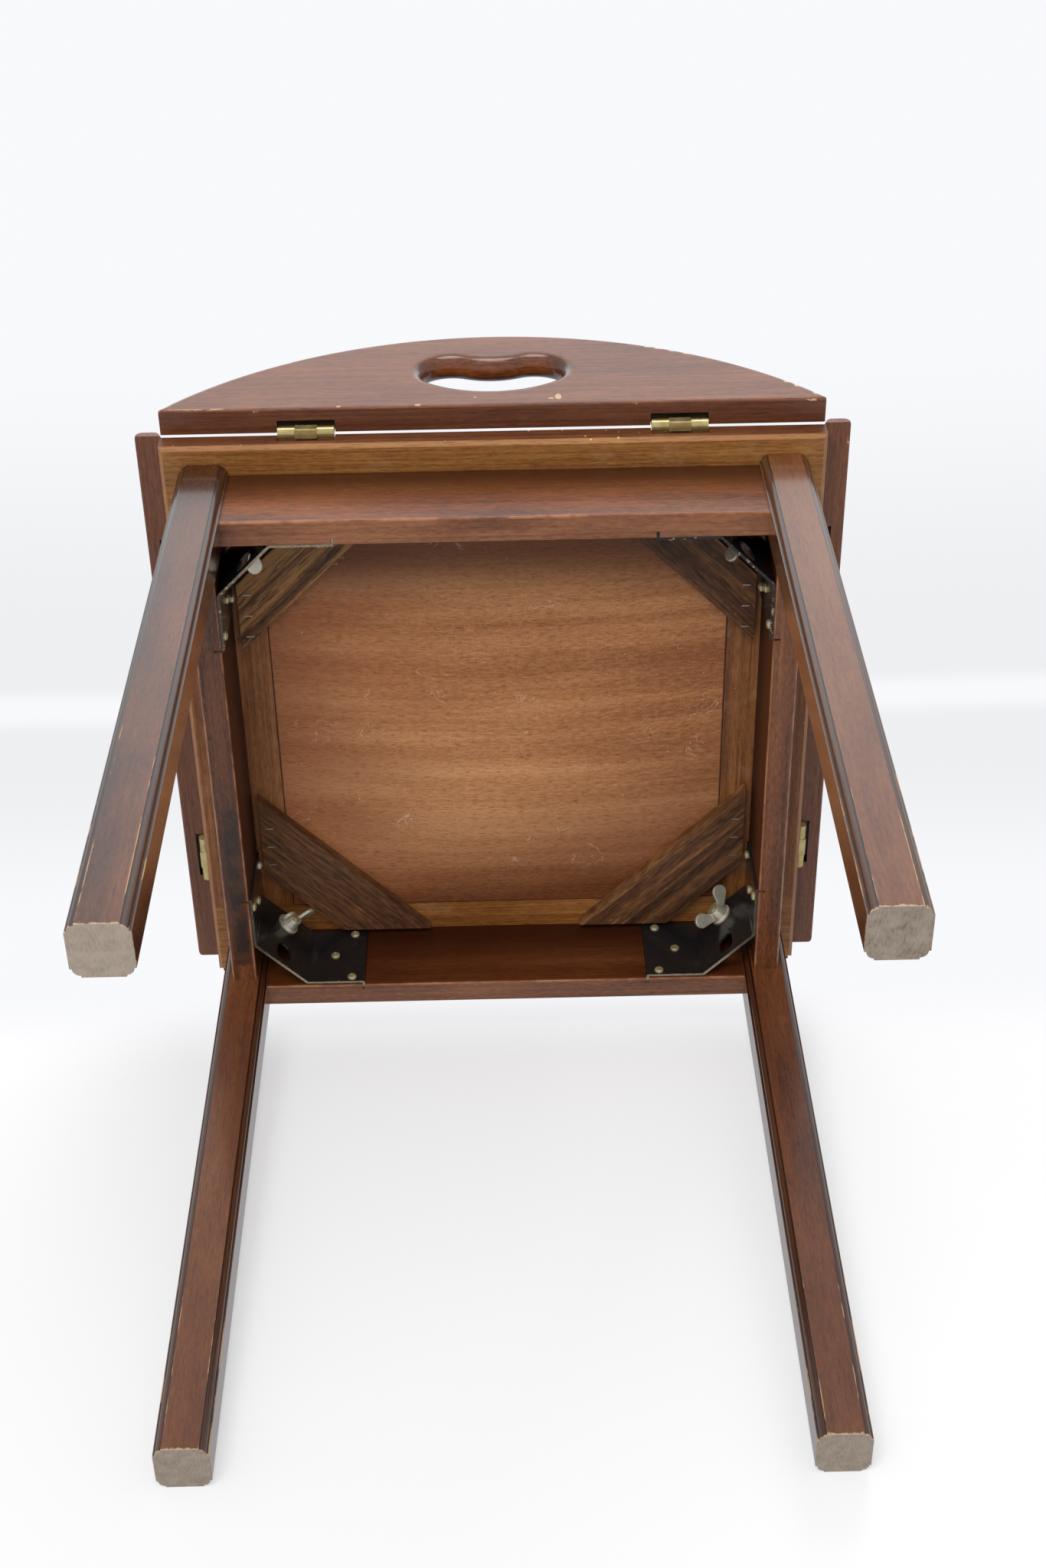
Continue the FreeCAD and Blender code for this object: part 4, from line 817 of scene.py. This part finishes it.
# Cast wing nuts: the solid's form with its edges and roots softened.
CAST_CELL = 0.00035
CAST_ROUNDS = 5
for corner in CORNERS:
    cast = placed(f"cast_wing_nut_{corner}", NODES[f"wing_nut_{corner}"].data.copy())
    fine = cast.modifiers.new("cells", "REMESH")
    fine.mode = "VOXEL"
    fine.voxel_size = CAST_CELL
    soft = cast.modifiers.new("soften", "SMOOTH")
    soft.factor = 0.5
    soft.iterations = CAST_ROUNDS
    softened = evaluated_mesh(cast)
    cast.modifiers.clear()
    cast.data = softened
    softened.shade_smooth()
    softened.materials.clear()
    softened.materials.append(NICKEL)
    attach(cast, f"wing_nut_{corner}_body")
    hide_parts(f"wing_nut_{corner}")


# Stage: a floor under the standing table and the white ground on which the photograph shows it lying.
def ground_material(name, shade, fade):
    """White ground that only the camera sees, from its upper side, shaded in part and faded out towards its rim."""
    shader = Shader(name)
    rays = shader.add("ShaderNodeLightPath").outputs
    behind = shader.add("ShaderNodeNewGeometry").outputs["Backfacing"]
    tint = shader.blend(shader.noise(shader.spot, 3.0, 2), tuple(channel * 0.985 for channel in GROUND), GROUND)
    lit = shader.add("ShaderNodeBsdfDiffuse", {"Color": tint}).outputs[0]
    white = shader.add("ShaderNodeEmission", {"Color": tint}).outputs[0]
    clear = shader.add("ShaderNodeBsdfTransparent").outputs[0]
    shown = shader.times(rays["Is Camera Ray"], shader.rest(behind), fade(shader))
    surface = shader.mix(shown, clear, shader.mix(shade, white, lit))
    shader.add("ShaderNodeOutputMaterial", {"Surface": surface})
    return shader.material


def plane(name, corners, material):
    mesh = bpy.data.meshes.new(name)
    mesh.from_pydata(corners, [], [list(range(len(corners)))])
    mesh.materials.append(material)
    item = placed(name, mesh)


def round_fade(shader):
    x, y, z = shader.axes()
    return shader.span(shader.reach(x, y), 1.9, 0.9)


def strip_fade(shader):
    x, y, z = shader.axes()
    # Over the floor it shows through the floor's clear underside only, so the standing table has one ground.
    crossed = shader.over(shader.add("ShaderNodeLightPath").outputs["Transparent Depth"], 0.5)
    from_under = shader.most(shader.under(z, 0.0), crossed)
    return shader.times(shader.span(z, 0.505, 0.4), shader.span(shader.size(x), 0.75, 0.5), from_under)


GROUND = (0.96, 0.963, 0.978)
FLOOR_HALF = 2.0
LIE_LEAN = 0.0315 / 0.53
LIE_START = 0.2172
LIE_HALF = 0.8
LIE_LOW, LIE_HIGH = -0.3, 0.52
floor_corners = [(x * FLOOR_HALF, y * FLOOR_HALF, 0) for x, y in ((-1, -1), (1, -1), (1, 1), (-1, 1))]
plane("floor", floor_corners, ground_material("floor_white", 0.4, round_fade))
lie_corners = [(x * LIE_HALF, LIE_START + z * LIE_LEAN, z)
               for x, z in ((-1, LIE_LOW), (1, LIE_LOW), (1, LIE_HIGH), (-1, LIE_HIGH))]
plane("lying_ground", lie_corners, ground_material("lying_ground_white", 0.5, strip_fade))


# Light: an even white surround, a soft lamp over the lying table's camera and one over the standing table.
def make_world():
    world = bpy.data.worlds.new("studio")
    bpy.context.scene.world = world
    world.use_nodes = True
    sky = Tree(world.node_tree)
    rays = sky.add("ShaderNodeLightPath").outputs
    way = sky.add("ShaderNodeTexCoord").outputs["Generated"]

    def toward(direction):
        return sky.add("ShaderNodeVectorMath", {0: way, 1: direction}, operation="DOT_PRODUCT").outputs["Value"]

    def surround(colour, strength):
        return sky.add("ShaderNodeBackground", {"Color": (*colour, 1), "Strength": strength}).outputs[0]

    # Gloss mirrors a bright ceiling and a window over the lying table.
    ceiling = sky.span(toward((0, -0.2, 0.98)), 0.82, 0.91, 0.48, 1.17)
    window = sky.span(toward((0, -0.97, 0.24)), 0.955, 0.985, 0.0, 3.2)
    mirrored = surround((0.97, 0.98, 1.0), sky.plus(ceiling, window))
    # The backdrop behind the lying table greys a little towards its fold: painted shade.
    fold = toward((0, -0.824, 0.566))
    fold_shade = sky.times(sky.span(fold, -0.06, 0.01), sky.span(fold, 0.2, 0.07),
                     sky.span(sky.apart(fold, 0.037), 0.002, 0.011),
                     sky.span(toward((0, 0, 1)), 0.6, 0.72, 0.0, 0.09))
    seen = surround((0.945, 0.95, 0.975), sky.rest(fold_shade))
    lit = surround((1.0, 0.99, 0.97), 0.55)
    unseen = sky.mix(sky.most(rays["Is Glossy Ray"], rays["Is Transmission Ray"]), lit, mirrored)
    sky.add("ShaderNodeOutputWorld", {"Surface": sky.mix(rays["Is Camera Ray"], unseen, seen)})


def lamp(name, place, size, power):
    light = bpy.data.lights.new(name, "AREA")
    light.shape = "DISK"
    light.size = size
    light.energy = power
    item = placed(name, light)
    item.location = place
    item.visible_glossy = False
    item.rotation_euler = (LAMP_TARGET - Vector(place)).to_track_quat("-Z", "Y").to_euler()


LAMP_TARGET = Vector((0, 0, 0.4))
make_world()
lamp("key", (-0.4, -1.9, -0.9), 1.4, 34)
lamp("top", (0.5, -0.9, 2.6), 1.6, 42)

# Camera, fitted to the photograph: turn, place in millimetres and focal length in pixels of the 1366 by 2048 frame.
TURN = Vector((0.602, -0.012, -0.019))
PLACE = Vector((-8.487, 243.947, 1208.328))
FOCAL = 2858.8
LONG_SIDE = 2048
SENSOR = 36.0
turn = Matrix.Rotation(TURN.length, 3, TURN.normalized())
flip = Matrix(((1, 0, 0), (0, -1, 0), (0, 0, -1)))
camera = placed("camera", bpy.data.cameras.new("camera"))
camera.data.sensor_width = SENSOR
camera.data.lens = FOCAL * SENSOR / LONG_SIDE
camera.matrix_world = Matrix.Translation(-(turn.transposed() @ PLACE) * MM) @ (turn.transposed() @ flip).to_4x4()
bpy.context.scene.camera = camera
bpy.context.scene.view_settings.view_transform = "Standard"
